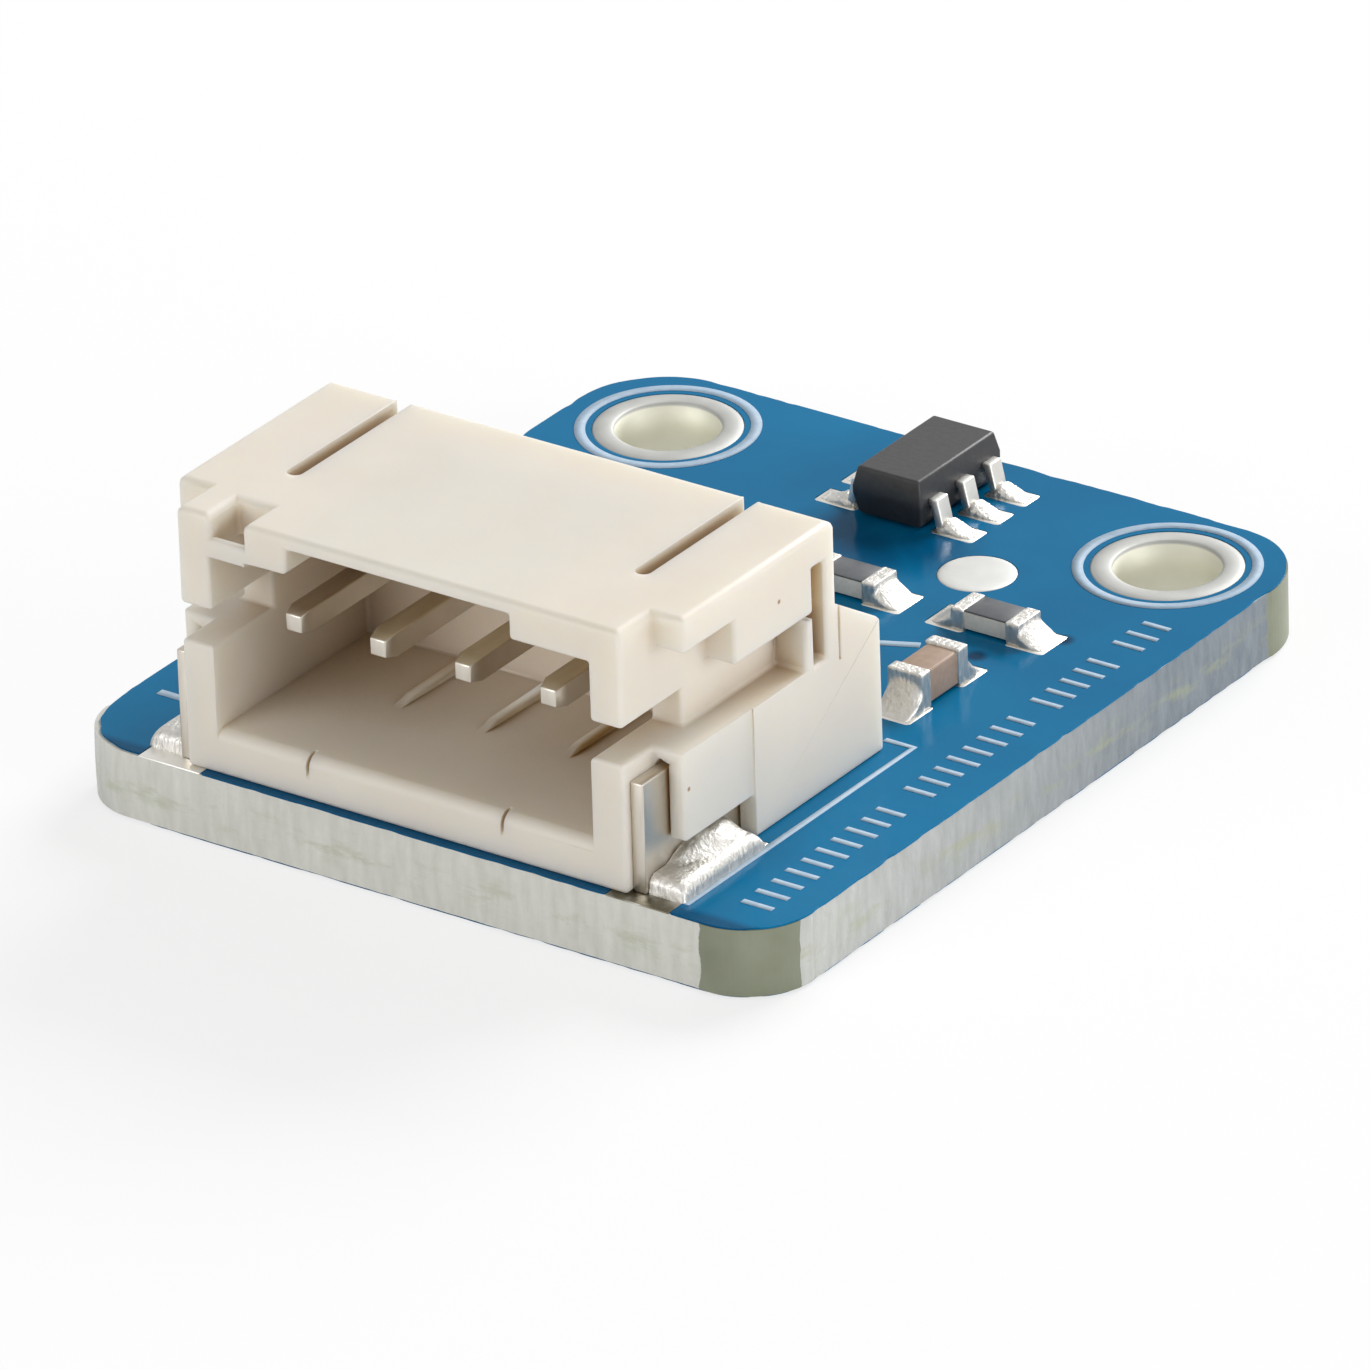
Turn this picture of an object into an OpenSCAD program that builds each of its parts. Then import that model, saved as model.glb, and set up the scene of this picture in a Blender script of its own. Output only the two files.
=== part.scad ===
// Hall effect sensor module: a small blue circuit board with a side-entry four-pin header,
// a six-lead sensor chip, two chip resistors, one chip capacitor and two plated screw holes.
// Millimetres. Origin at the middle of the board's underside, +Z up, the header faces -Y.

/* [Board] */

// Board width, left to right
board_w = 16.7; // [16:0.1:18]
// Board length, header edge to far edge
board_d = 19.5; // [19:0.1:21]
// Board thickness with both coats of mask
board_t = 1.5; // [1.2:0.1:2]
// Radius of the two corners beside the header
front_corner_r = 1.5; // [1:0.1:2]
// Radius of the two corners beside the screw holes
back_corner_r = 2; // [1.5:0.1:2.2]
// Thickness of the solder mask and of the tinned pads lying in its openings
mask_t = 0.04; // [0.03:0.01:0.06]
// Bare gap between each pad and the edge of its mask opening
mask_gap = 0.05; // [0.04:0.01:0.08]

/* [Screw Holes] */

// Distance from each side of the board to the middle of its screw hole
hole_side = 2.325; // [2.2:0.025:2.5]
// Distance from the far edge to the screw holes' middle line
hole_back = 2.2; // [2:0.05:2.4]
// Finished hole diameter, clear for an M2 screw
hole_d = 2.2; // [2.2:0.05:2.4]
// Thickness of the plated barrel
barrel_t = 0.06; // [0.05:0.01:0.1]
// Width of the tinned ring round each hole
ring_w = 0.45; // [0.35:0.05:0.5]

/* [Header Housing] */

// Offset of the header from the board's middle, as soldered on the photographed one
header_x = -0.25; // [-0.3:0.05:0.3]
// Distance of the housing's front face behind the board's edge
header_setback = 0.18; // [0.1:0.02:0.3]
// Width over the side bands and the skirts
header_w = 11.9; // [11.8:0.1:12.1]
// Height above the board
header_h = 5.6; // [5.4:0.1:5.8]
// Depth of the upper body
header_d = 6.1; // [6:0.05:6.2]
// How far the side bands and the skirts stand out from the narrower core
band_t = 0.75; // [0.7:0.05:0.8]
// Thickness of the core's side walls
side_wall_t = 0.75; // [0.65:0.05:0.8]
// Thickness of the wall behind the plug opening
back_wall_t = 1.1; // [0.9:0.1:1.3]
// Height of the opening's floor
floor_z = 0.95; // [0.85:0.05:1.05]
// Thickness of the lip over the plug opening
lip_t = 0.83; // [0.75:0.01:0.9]
// Thickness of the thin middle part of that lip
thin_lip_t = 0.3; // [0.25:0.05:0.4]
// Width of the thin middle lip
key_w = 5.24; // [5:0.05:5.4]

/* [Header Sides] */

// Thickness of the ledge above the hold-down slots
ledge_t = 0.17; // [0.15:0.01:0.25]
// Height of the front side windows
window_h = 0.77; // [0.7:0.01:0.8]
// Rear end of the front side windows
window_y = 2; // [1.9:0.05:2.1]
// Height of the side band along the top
band_h = 0.75; // [0.7:0.05:0.8]
// Where the side band starts behind the front
band_y = 1.08; // [1.02:0.02:1.2]
// Front end of the raised side block
block_y0 = 2.74; // [2.6:0.05:2.85]
// Gap between the raised side block and the rear side pillar
block_gap = 0.42; // [0.35:0.01:0.5]
// Height of the raised side block below the band
block_h = 0.95; // [0.9:0.05:1]
// Length of the rear side pillar
pillar_l = 0.31; // [0.25:0.01:0.4]
// Depth of the pocket below that gap, from the core's side
pocket_depth = 0.3; // [0.2:0.05:0.35]
// Where the side skirts start behind the front
skirt_y = 1; // [0.9:0.05:1.1]
// Room behind each hold-down foot in its cut-out
foot_room = 0.39; // [0.3:0.01:0.5]
// Height of the cut-outs for the hold-down feet
foot_cut_z = 0.87; // [0.8:0.05:0.95]
// How far the rear half of the skirt stands proud of the front half
skirt_step = 0.05; // [0.03:0.01:0.08]

/* [Header Top And Floor] */

// Distance from the core's side to the middle of each groove in the top
groove_side = 1.1; // [1.075:0.025:1.2]
// Width of each groove in the top
groove_w = 0.35; // [0.3:0.05:0.5]
// Depth of each groove in the top
groove_depth = 0.6; // [0.5:0.05:0.7]
// Front end of the grooves, which is round
groove_y = 2.25; // [2.1:0.05:2.4]
// Distance from the side of the plug opening to the left key notch
notch_side = 0.03; // [0.02:0.01:0.06]
// Width of the left key notch
notch_w = 0.8; // [0.7:0.05:0.9]
// Depth of the left key notch from the front
notch_y = 0.95; // [0.9:0.05:1.05]
// Thickness of the bar across the key notch
bar_t = 0.25; // [0.2:0.05:0.35]
// How far the bar hangs below the lip
bar_drop = 0.1; // [0.05:0.01:0.15]
// Height of the bar
bar_h = 0.39; // [0.35:0.01:0.45]
// Width of each floor rib
rib_w = 0.2; // [0.16:0.02:0.3]
// Height of each floor rib
rib_h = 0.16; // [0.1:0.02:0.2]
// Front end of the floor ribs
rib_y = 2.6; // [2.4:0.05:2.8]
// Length of the ribs' sloping front end
rib_slope = 0.35; // [0.2:0.05:0.5]
// Radius of the floor's rounded front edge
floor_round = 0.25; // [0.2:0.01:0.3]
// Distance between the two nicks in the floor's front edge
nick_spacing = 4.6; // [4.4:0.05:4.8]
// Width of each nick
nick_w = 0.08; // [0.06:0.01:0.12]
// How far each nick reaches back at the floor's surface
nick_depth = 0.35; // [0.3:0.01:0.45]
// Height of each nick below the floor's surface, where it runs out
nick_h = 0.5; // [0.3:0.05:0.6]

/* [Header Ears] */

// How far the ears reach behind the body
ear_l = 1.5; // [1.4:0.05:1.6]
// Width of each ear
ear_w = 1.3; // [1.2:0.05:1.35]
// Height of the ear where it meets the body
ear_z0 = 3.8; // [3.7:0.05:3.9]
// Height of the ear at its rear end
ear_z1 = 2.95; // [2.85:0.05:3.05]
// Corner cut at the ear's rear end
ear_cut = 0.15; // [0.1:0.05:0.2]
// Width of the groove between the body and the ear
ear_groove_w = 0.08; // [0.06:0.01:0.12]
// How far that groove reaches below the ear's rear end
ear_groove_l = 0.4; // [0.3:0.05:0.5]

/* [Contacts] */

// Distance between the contact pins
pin_pitch = 2; // [1.95:0.01:2.05]
// Side of the square contact pins
pin_w = 0.5; // [0.45:0.05:0.6]
// Height of the pins' middle line
pin_z = 3.35; // [3.3:0.05:3.45]
// Distance of the pin tips behind the front
pin_y = 0.68; // [0.6:0.04:0.8]
// How far each pin's tip is drawn in on all four sides
pin_bevel = 0.07; // [0.04:0.01:0.12]
// Length of the sloping part behind the tip
pin_slope = 0.3; // [0.2:0.05:0.4]
// Inner bend radius of the contact tails
bend_r = 0.25; // [0.2:0.05:0.3]
// Length of the flat part of the contact tails
tail_l = 0.8; // [0.7:0.05:0.9]
// Width of the contact pads
contact_pad_w = 1; // [0.9:0.05:1.2]
// How far the contact pads reach past the tails
contact_toe = 0.5; // [0.4:0.05:0.7]
// Bare strip left between solder and the outer edge of its pad
pad_margin = 0.05; // [0.03:0.01:0.08]

/* [Hold Downs] */

// Thickness of the hold-down tabs
tab_t = 0.3; // [0.24:0.02:0.3]
// Play between a tab and its slot
tab_play = 0.02; // [0.02:0.01:0.04]
// Height of the tabs
tab_h = 2.35; // [2.2:0.05:2.4]
// Front edge of the tabs behind the housing's front
tab_y = 0.2; // [0.1:0.05:0.25]
// Rear end of the tabs
tab_y1 = 3.5; // [3.45:0.05:3.6]
// Play between a tab and the slot's side walls' upper ends
tab_top_play = 0.05; // [0.03:0.01:0.08]
// Height of the slot's peaked roof above those walls
slot_peak = 0.18; // [0.1:0.02:0.2]
// How far the tab's foot reaches outside the housing
foot_out = 0.25; // [0.2:0.05:0.35]
// Front edge of the tab's foot
foot_y0 = 0.4; // [0.35:0.05:0.5]
// Rear edge of the tab's foot
foot_y1 = 2.9; // [2.8:0.05:3]
// How far the hold-down pads reach sideways past the hold-downs
hold_pad_side = 0.4; // [0.35:0.05:0.5]
// How far the hold-down pads reach behind the feet
hold_pad_back = 0.3; // [0.25:0.05:0.4]
// How far the heaped solder reaches past the front and the rear of each foot
heap_over = 0.15; // [0.1:0.05:0.2]

/* [Sensor] */

// Sideways position of the sensor's middle on the board
sensor_x = 0.25; // [0:0.05:0.5]
// How far the sensor's middle lies behind the screw holes' middle line
sensor_back = 0.05; // [0:0.01:0.1]
// Length of the sensor body, along the board
sensor_l = 2.9; // [2.8:0.05:3]
// Width of the sensor body
sensor_w = 1.65; // [1.6:0.05:1.7]
// Height of the sensor body above the board
sensor_h = 1.1; // [1:0.05:1.2]
// Gap below the sensor body
sensor_gap = 0.06; // [0.04:0.01:0.1]
// Lean of the moulded sides
sensor_draft = 0.09; // [0.05:0.01:0.12]
// Distance between neighbouring leads
lead_pitch = 0.95; // [0.93:0.01:0.97]
// Width of the leads
lead_w = 0.4; // [0.35:0.01:0.45]
// Thickness of the leads
lead_t = 0.15; // [0.12:0.01:0.18]
// Height of the leads where they leave the body
lead_z = 0.52; // [0.45:0.01:0.55]
// Length of the leads' level part beside the body
lead_shoulder = 0.05; // [0.04:0.01:0.08]
// Sideways run of the leads' sloping part
lead_lean = 0.12; // [0.08:0.01:0.15]
// How far the leads reach out from the body
lead_out = 0.575; // [0.55:0.025:0.65]
// How far the sensor's pads reach past the lead tips
sensor_toe = 0.5; // [0.4:0.05:0.55]
// Length of the sensor's pads
sensor_pad_l = 1; // [0.9:0.05:1.1]
// Width of the sensor's pads
sensor_pad_w = 0.6; // [0.55:0.01:0.65]

/* [Chips] */

// Length of the chip resistors and of the capacitor
chip_l = 1.6; // [1.5:0.05:1.65]
// Width of the chip resistors and of the capacitor
chip_w = 0.8; // [0.75:0.05:0.85]
// Height of the chip resistors
resistor_h = 0.45; // [0.4:0.05:0.5]
// Height of the chip capacitor
capacitor_h = 0.8; // [0.7:0.05:0.85]
// Length of the metal end caps
cap_l = 0.3; // [0.25:0.05:0.35]
// Thickness of the end cap metal
cap_t = 0.04; // [0.03:0.01:0.05]
// Thickness of the dark coat on top of the resistors
overcoat_t = 0.04; // [0.03:0.01:0.05]
// Distance over the outer ends of a chip's pads
pad_reach = 2.8; // [2.6:0.05:2.9]
// Length of each chip pad
chip_pad_l = 0.9; // [0.8:0.05:0.95]
// Width of each chip pad
chip_pad_w = 0.95; // [0.9:0.05:1]
// Sideways position of the resistor beside the header's ear
resistor_a_x = 1.27; // [1.1:0.05:1.4]
// Sideways position of the outer resistor
resistor_b_x = 4.68; // [4.5:0.05:4.8]
// Share of the free room along the board that lies between the capacitor and the resistors
room_resistor = 0.253; // [0.22:0.01:0.3]
// Sideways position of the capacitor
capacitor_x = 5.06; // [5:0.02:5.2]
// Share of the free room along the board that lies between the header and the capacitor
room_capacitor = 0.2614; // [0.22:0.01:0.3]
// Diameter of the round test pad
test_pad_d = 1.6; // [1.4:0.1:1.6]
// Sideways position of the test pad
test_pad_x = 3; // [2.9:0.05:3.1]
// Share of the free room along the board that lies between the resistors and the test pad
room_test_pad = 0.1379; // [0.1:0.01:0.2]

/* [Hidden] */

$fn = 48;
over = 1;
left = -1;
right = 1;
hole_x = board_w / 2 - hole_side;
hole_y = board_d / 2 - hole_back;
ring_r = hole_d / 2 + ring_w;
laminate_r = hole_d / 2 + barrel_t;
header_y = header_setback - board_d / 2;
header_hw = header_w / 2;
core_hw = header_hw - band_t;
cavity_hw = core_hw - side_wall_t;
pocket_hw = core_hw - pocket_depth;
key_hw = key_w / 2;
cavity_d = header_d - back_wall_t;
lip_z = header_h - lip_t;
thin_lip_z = header_h - thin_lip_t;
band_z = header_h - band_h;
block_z = band_z - block_h;
slot_x = core_hw + tab_t + tab_play;
slot_z = tab_h + tab_top_play;
ledge_z = slot_z + slot_peak + ledge_t;
window_z = ledge_z + window_h;
pillar_y = header_d - pillar_l;
block_y1 = pillar_y - block_gap;
foot_cut_y = foot_y1 + foot_room;
ear_y = header_d + ear_l;
notch_x0 = cavity_hw - notch_side;
notch_x1 = notch_x0 - notch_w;
bar_z = lip_z - bar_drop;
pin_r = pin_w / 2;
leg_y = header_d + bend_r;
tail_y = leg_y + pin_w + bend_r + tail_l;
contact_pad_y = tail_y + contact_toe;
foot_x = header_hw + foot_out;
hold_pad_x0 = core_hw - hold_pad_side;
hold_pad_x1 = foot_x + hold_pad_side;
sensor_y = hole_y + sensor_back;
lead_tip = sensor_w / 2 + lead_out;
solder_climb = 0.75;
heap_steps = 6;
// The room between the header's ears and the hole line that capacitor, resistors and test
// pad leave free, and the places of those three that share it out.
row_y = header_y + ear_y;
room = hole_y - row_y - pad_reach - chip_pad_w - test_pad_d;
capacitor_y = row_y + room * room_capacitor + pad_reach / 2;
resistor_y = capacitor_y + pad_reach / 2 + room * room_resistor + chip_pad_w / 2;
test_pad_y = resistor_y + chip_pad_w / 2 + room * room_test_pad + test_pad_d / 2;
mask_blue = "#0b6ea8";
fr4 = "#c8c9be";
tin = "#d8d8d2";
ivory = "#e4dccf";
plated = "#b9b6ae";
solder_grey = "#dcdcdc";
mould_black = "#26262a";
ceramic = "#dcd8cc";
coat_dark = "#3a3c40";
capacitor_tan = "#b39a86";

// A box between two corners, given axis by axis.
module span(x0, x1, y0, y1, z0, z1) {
    translate([x0, y0, z0]) cube([x1 - x0, y1 - y0, z1 - z0]);
}

// The same box with its own side of the middle line chosen by s.
module side_span(s, x0, x1, y0, y1, z0, z1) {
    span(min(s * x0, s * x1), max(s * x0, s * x1), y0, y1, z0, z1);
}

// The board's outline, t thick, with its lower face at height z.
module board_slab(z, t) {
    hw = board_w / 2;
    hd = board_d / 2;
    fx = hw - front_corner_r;
    fy = hd - front_corner_r;
    bx = hw - back_corner_r;
    by = hd - back_corner_r;
    span(-hw, hw, -fy, by, z, z + t);
    span(-fx, fx, -hd, -fy, z, z + t);
    span(-bx, bx, by, hd, z, z + t);
    for (s = [left, right]) {
        translate([s * fx, -fy, z]) cylinder(h = t, r = front_corner_r);
        translate([s * bx, by, z]) cylinder(h = t, r = back_corner_r);
    }
}

// Places its children at both screw holes.
module at_holes() {
    for (s = [left, right])
        translate([s * hole_x, hole_y, 0]) children();
}

// Places its children in the header's own frame: middle of the front face, top of the board.
module at_header() {
    translate([header_x, header_y, board_t]) children();
}

// A flat pad, or with grow above zero the opening round it.
module pad(x0, x1, y0, y1, grow = 0) {
    span(x0 - grow, x1 + grow, y0 - grow, y1 + grow, 0, mask_t);
}

// Places its children at pad level on top of the laminate.
module at_pads() {
    translate([0, 0, board_t - mask_t]) children();
}

module hold_pad_shape(s, grow = 0) {
    x0 = header_x + s * hold_pad_x0;
    x1 = header_x + s * hold_pad_x1;
    at_pads() pad(min(x0, x1), max(x0, x1), -board_d / 2,
        header_y + foot_y1 + hold_pad_back, grow);
}

module contact_pad_shapes(grow = 0) {
    for (i = [0:3])
        at_pads() pad(header_x + (i - 1.5) * pin_pitch - contact_pad_w / 2,
            header_x + (i - 1.5) * pin_pitch + contact_pad_w / 2,
            header_y + leg_y, header_y + contact_pad_y, grow);
}

module sensor_pad_shapes(grow = 0) {
    inner = lead_tip + sensor_toe - sensor_pad_l;
    for (s = [left, right])
        for (k = [-1:1])
            at_pads() pad(sensor_x + min(s * inner, s * (inner + sensor_pad_l)),
                sensor_x + max(s * inner, s * (inner + sensor_pad_l)),
                sensor_y + k * lead_pitch - sensor_pad_w / 2,
                sensor_y + k * lead_pitch + sensor_pad_w / 2, grow);
}

// The two pads of a chip that lies along X, around the chip's own middle.
module chip_pad_shapes(grow = 0) {
    for (s = [left, right])
        at_pads() pad(min(s * (pad_reach / 2 - chip_pad_l), s * pad_reach / 2),
            max(s * (pad_reach / 2 - chip_pad_l), s * pad_reach / 2),
            -chip_pad_w / 2, chip_pad_w / 2, grow);
}

module at_resistor_a() {
    translate([resistor_a_x, resistor_y, 0]) children();
}

module at_resistor_b() {
    translate([resistor_b_x, resistor_y, 0]) children();
}

module at_capacitor() {
    translate([capacitor_x, capacitor_y, 0]) rotate([0, 0, 90]) children();
}

module board_laminate() color(fr4) difference() {
    board_slab(mask_t, board_t - 2 * mask_t);
    at_holes() translate([0, 0, -over]) cylinder(h = board_t + 2 * over, r = laminate_r);
}

module top_solder_mask() color(mask_blue) difference() {
    board_slab(board_t - mask_t, mask_t);
    at_holes() translate([0, 0, board_t - over]) cylinder(h = 2 * over, r = ring_r + mask_gap);
    for (s = [left, right]) hold_pad_shape(s, mask_gap);
    contact_pad_shapes(mask_gap);
    sensor_pad_shapes(mask_gap);
    at_resistor_a() chip_pad_shapes(mask_gap);
    at_resistor_b() chip_pad_shapes(mask_gap);
    at_capacitor() chip_pad_shapes(mask_gap);
    translate([test_pad_x, test_pad_y, board_t - over])
        cylinder(h = 2 * over, r = test_pad_d / 2 + mask_gap);
}

module bottom_solder_mask() color(mask_blue) difference() {
    board_slab(0, mask_t);
    at_holes() translate([0, 0, -over]) cylinder(h = 2 * over, r = ring_r + mask_gap);
}

// Barrel with a tinned ring on each face of the board.
module hole_plating(s) color(tin)
    translate([s * hole_x, hole_y, 0]) difference() {
        union() {
            cylinder(h = mask_t, r = ring_r);
            translate([0, 0, mask_t]) cylinder(h = board_t - 2 * mask_t, r = laminate_r);
            translate([0, 0, board_t - mask_t]) cylinder(h = mask_t, r = ring_r);
        }
        translate([0, 0, -over]) cylinder(h = board_t + 2 * over, r = hole_d / 2);
    }

module hold_down_pad(s) color(tin) hold_pad_shape(s);

module contact_pads() color(tin) contact_pad_shapes();

module sensor_pads() color(tin) sensor_pad_shapes();

module resistor_a_pads() color(tin) at_resistor_a() chip_pad_shapes();

module resistor_b_pads() color(tin) at_resistor_b() chip_pad_shapes();

module capacitor_pads() color(tin) at_capacitor() chip_pad_shapes();

module test_pad() color(tin) translate([test_pad_x, test_pad_y, board_t - mask_t])
    cylinder(h = mask_t, r = test_pad_d / 2);

// Everything that stands out sideways from the housing's core on one side.
module housing_side(s) {
    side_span(s, cavity_hw, header_hw, band_y, header_d, band_z, header_h);
    side_span(s, cavity_hw, header_hw, block_y0, block_y1, block_z, band_z);
    side_span(s, cavity_hw, header_hw, pillar_y, header_d, ledge_z, band_z);
    side_span(s, cavity_hw, header_hw - skirt_step, skirt_y, foot_cut_y, foot_cut_z, ledge_z);
    side_span(s, cavity_hw, header_hw, foot_cut_y, header_d, 0, ledge_z);
    difference() {
        translate([s * header_hw, 0, 0]) mirror([s > 0 ? 1 : 0, 0, 0])
            rotate([90, 0, 90]) linear_extrude(height = ear_w) polygon([
                [header_d - over, 0], [ear_y, 0], [ear_y, ear_z1 - ear_cut],
                [ear_y - ear_cut, ear_z1], [header_d, ear_z0], [header_d - over, ear_z0]]);
        side_span(s, header_hw - ear_groove_w, header_hw + over,
            header_d + ear_groove_w, header_d + 2 * ear_groove_w,
            ear_z1 - ear_groove_l, ear_z0 + over);
    }
}

// The slot that takes a hold-down tab: straight sides and a peaked roof, open to the front.
module tab_slot(s) {
    mid = (core_hw + slot_x) / 2;
    translate([0, tab_y1, 0]) rotate([90, 0, 0]) linear_extrude(height = tab_y1 + over)
        polygon([[s * core_hw, -over], [s * slot_x, -over], [s * slot_x, slot_z],
            [s * mid, slot_z + slot_peak], [s * core_hw, slot_z]]);
}

// A groove in the top, round at its front and open at the rear.
module top_groove(s) {
    mid = core_hw - groove_side;
    side_span(s, mid - groove_w / 2, mid + groove_w / 2,
        groove_y + groove_w / 2, header_d + over, header_h - groove_depth, header_h + over);
    translate([s * mid, groove_y + groove_w / 2, header_h - groove_depth])
        cylinder(h = groove_depth + over, d = groove_w);
}

// A thin nick in the floor's front edge: deepest at the floor's surface, run out below.
module floor_nick(s) {
    translate([s * nick_spacing / 2 - nick_w / 2, 0, floor_z]) rotate([90, 0, 90])
        linear_extrude(height = nick_w)
            polygon([[-over, over], [nick_depth, over], [nick_depth, 0], [0, -nick_h], [-over, -nick_h]]);
}

// What is cut away on one side: window, pocket, tab slot, top groove and floor nick.
module housing_side_cuts(s) {
    side_span(s, cavity_hw - over, header_hw + over, -over, window_y, ledge_z, window_z);
    side_span(s, pocket_hw, core_hw + over, block_y1, pillar_y, ledge_z, block_z);
    tab_slot(s);
    top_groove(s);
    floor_nick(s);
}

// The sharp corner that the floor's rounded front edge takes away.
module floor_edge_cut() {
    difference() {
        span(-cavity_hw, cavity_hw, -over, floor_round, floor_z - floor_round, floor_z + over);
        translate([-cavity_hw - over, floor_round, floor_z - floor_round]) rotate([0, 90, 0])
            cylinder(h = 2 * (cavity_hw + over), r = floor_round);
    }
}

// A low rib along the floor, sloping up from its front end.
module floor_rib(k) {
    translate([k * pin_pitch - rib_w / 2, 0, floor_z]) rotate([90, 0, 90])
        linear_extrude(height = rib_w) polygon([[rib_y, -rib_h], [cavity_d + rib_h, -rib_h],
            [cavity_d + rib_h, rib_h], [rib_y + rib_slope, rib_h], [rib_y, 0]]);
}

module header_housing() color(ivory) at_header() union() {
    difference() {
        union() {
            span(-core_hw, core_hw, 0, header_d, 0, header_h);
            for (s = [left, right]) housing_side(s);
        }
        span(-cavity_hw, cavity_hw, -over, cavity_d, floor_z, lip_z);
        span(-key_hw, key_hw, -over, cavity_d, floor_z, thin_lip_z);
        floor_edge_cut();
        for (s = [left, right]) housing_side_cuts(s);
        span(-notch_x0, -notch_x1, -over, notch_y, lip_z - over, header_h + over);
        for (i = [0:3])
            span((i - 1.5) * pin_pitch - pin_r, (i - 1.5) * pin_pitch + pin_r,
                cavity_d - over, header_d + over, pin_z - pin_r, pin_z + pin_r);
    }
    span(-cavity_hw, -notch_x1, 0, bar_t, bar_z, bar_z + bar_h);
    for (k = [-1:1]) floor_rib(k);
}

// A quarter bend of square wire, its centre line leaving along -Y and turning down.
module wire_bend() {
    rotate([90, 0, 90]) difference() {
        translate([0, 0, -pin_r]) intersection() {
            cylinder(h = pin_w, r = bend_r + pin_w);
            cube([bend_r + pin_w, bend_r + pin_w, pin_w]);
        }
        translate([0, 0, -pin_w]) cylinder(h = 2 * pin_w, r = bend_r);
    }
}

// The straight part of a contact seen from one side, drawn in towards its tip.
module pin_profile() {
    tip_r = pin_r - pin_bevel;
    polygon([[pin_y, -tip_r], [pin_y + pin_slope, -pin_r], [header_d, -pin_r],
        [header_d, pin_r], [pin_y + pin_slope, pin_r], [pin_y, tip_r]]);
}

// One contact: square pin with a tapered tip, bent down behind the housing to a flat tail.
module contact_pin(i) color(plated) at_header() translate([(i - 2.5) * pin_pitch, 0, 0]) {
    translate([0, 0, pin_z]) intersection() {
        translate([-pin_r, 0, 0]) rotate([90, 0, 90]) linear_extrude(height = pin_w) pin_profile();
        translate([0, 0, -pin_r]) rotate([0, 0, 90]) linear_extrude(height = pin_w) pin_profile();
    }
    translate([0, header_d, pin_z - pin_r - bend_r]) wire_bend();
    span(-pin_r, pin_r, leg_y, leg_y + pin_w, pin_w + bend_r, pin_z - pin_r - bend_r);
    translate([0, leg_y + pin_w + bend_r, pin_w + bend_r]) rotate([180, 0, 0]) wire_bend();
    span(-pin_r, pin_r, leg_y + pin_w + bend_r, tail_y, 0, pin_w);
}

// One hold-down: an upright plate in the housing's slot and a foot on the pad.
module hold_down_tab(s) color(plated) at_header() {
    side_span(s, core_hw, core_hw + tab_t, tab_y, tab_y1, 0, tab_h);
    side_span(s, core_hw + tab_t, foot_x, foot_y0, foot_y1, 0, tab_t);
}

// Solder heaped over the hold-down's foot: domed outwards, and at both ends.
module tab_solder(s) color(solder_grey) at_header() {
    inner = core_hw + tab_t;
    heap_w = hold_pad_x1 - pad_margin - inner;
    heap_h = foot_cut_z - tab_play;
    heap_hl = (foot_y1 - foot_y0) / 2 + heap_over;
    turns = [for (k = [0:heap_steps]) 90 * k / heap_steps];
    difference() {
        intersection() {
            translate([0, foot_y1 + heap_over, 0]) rotate([90, 0, 0])
                linear_extrude(height = 2 * heap_hl) polygon(concat([[s * inner, 0]],
                    [for (a = turns) [s * (inner + heap_w * cos(a)), heap_h * sin(a)]]));
            translate([s > 0 ? inner : -inner - heap_w, (foot_y0 + foot_y1) / 2, 0])
                rotate([90, 0, 90]) linear_extrude(height = heap_w) polygon(concat(
                    [for (a = turns) [heap_hl - heap_h * (1 - cos(a)), heap_h * sin(a)]],
                    [for (a = turns) [-heap_hl + heap_h * (1 - sin(a)), heap_h * cos(a)]]));
        }
        side_span(s, inner - over, foot_x, foot_y0, foot_y1, -over, tab_t);
    }
}

// Outline of a hollow solder fillet against an upright face, reaching out by l and up by h.
module fillet_profile(l, h) {
    polygon([[0, 0], [l, 0], [l / 3, h / 2], [0, h]]);
}

// Fillets behind the contact tails.
module contact_solder() color(solder_grey) at_header()
    for (i = [0:3])
        translate([(i - 1.5) * pin_pitch - pin_r, tail_y, 0]) rotate([90, 0, 90])
            linear_extrude(height = pin_w)
                fillet_profile(contact_toe - pad_margin, pin_w - pad_margin);

module at_sensor() {
    translate([sensor_x, sensor_y, board_t]) children();
}

// Moulded body: widest where the leads leave it, leaning in above and below.
module sensor_body() color(mould_black) at_sensor() {
    intersection() {
        translate([0, sensor_l / 2, 0]) rotate([90, 0, 0])
            linear_extrude(height = sensor_l) sensor_profile(sensor_w / 2);
        translate([-sensor_w / 2, 0, 0]) rotate([90, 0, 90])
            linear_extrude(height = sensor_w) sensor_profile(sensor_l / 2);
    }
}

module sensor_profile(half) {
    polygon([[-half + sensor_draft, sensor_gap], [half - sensor_draft, sensor_gap],
        [half, lead_z], [half, lead_z + lead_t], [half - sensor_draft, sensor_h],
        [-half + sensor_draft, sensor_h], [-half, lead_z + lead_t], [-half, lead_z]]);
}

// One gull-wing lead. Leads 1 to 3 stand on the left, 4 to 6 on the right, front to rear.
module sensor_lead(n) color(tin) at_sensor() {
    s = n < 4 ? left : right;
    k = (n - 1) % 3 - 1;
    half = sensor_w / 2;
    knee = half + lead_shoulder;
    heel = knee + lead_lean;
    translate([0, k * lead_pitch + lead_w / 2, 0]) rotate([90, 0, 0])
        linear_extrude(height = lead_w) polygon([
            [s * half, lead_z + lead_t], [s * (knee + lead_t), lead_z + lead_t],
            [s * (heel + lead_t), lead_t], [s * lead_tip, lead_t], [s * lead_tip, 0],
            [s * heel, 0], [s * knee, lead_z], [s * half, lead_z]]);
}

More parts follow.
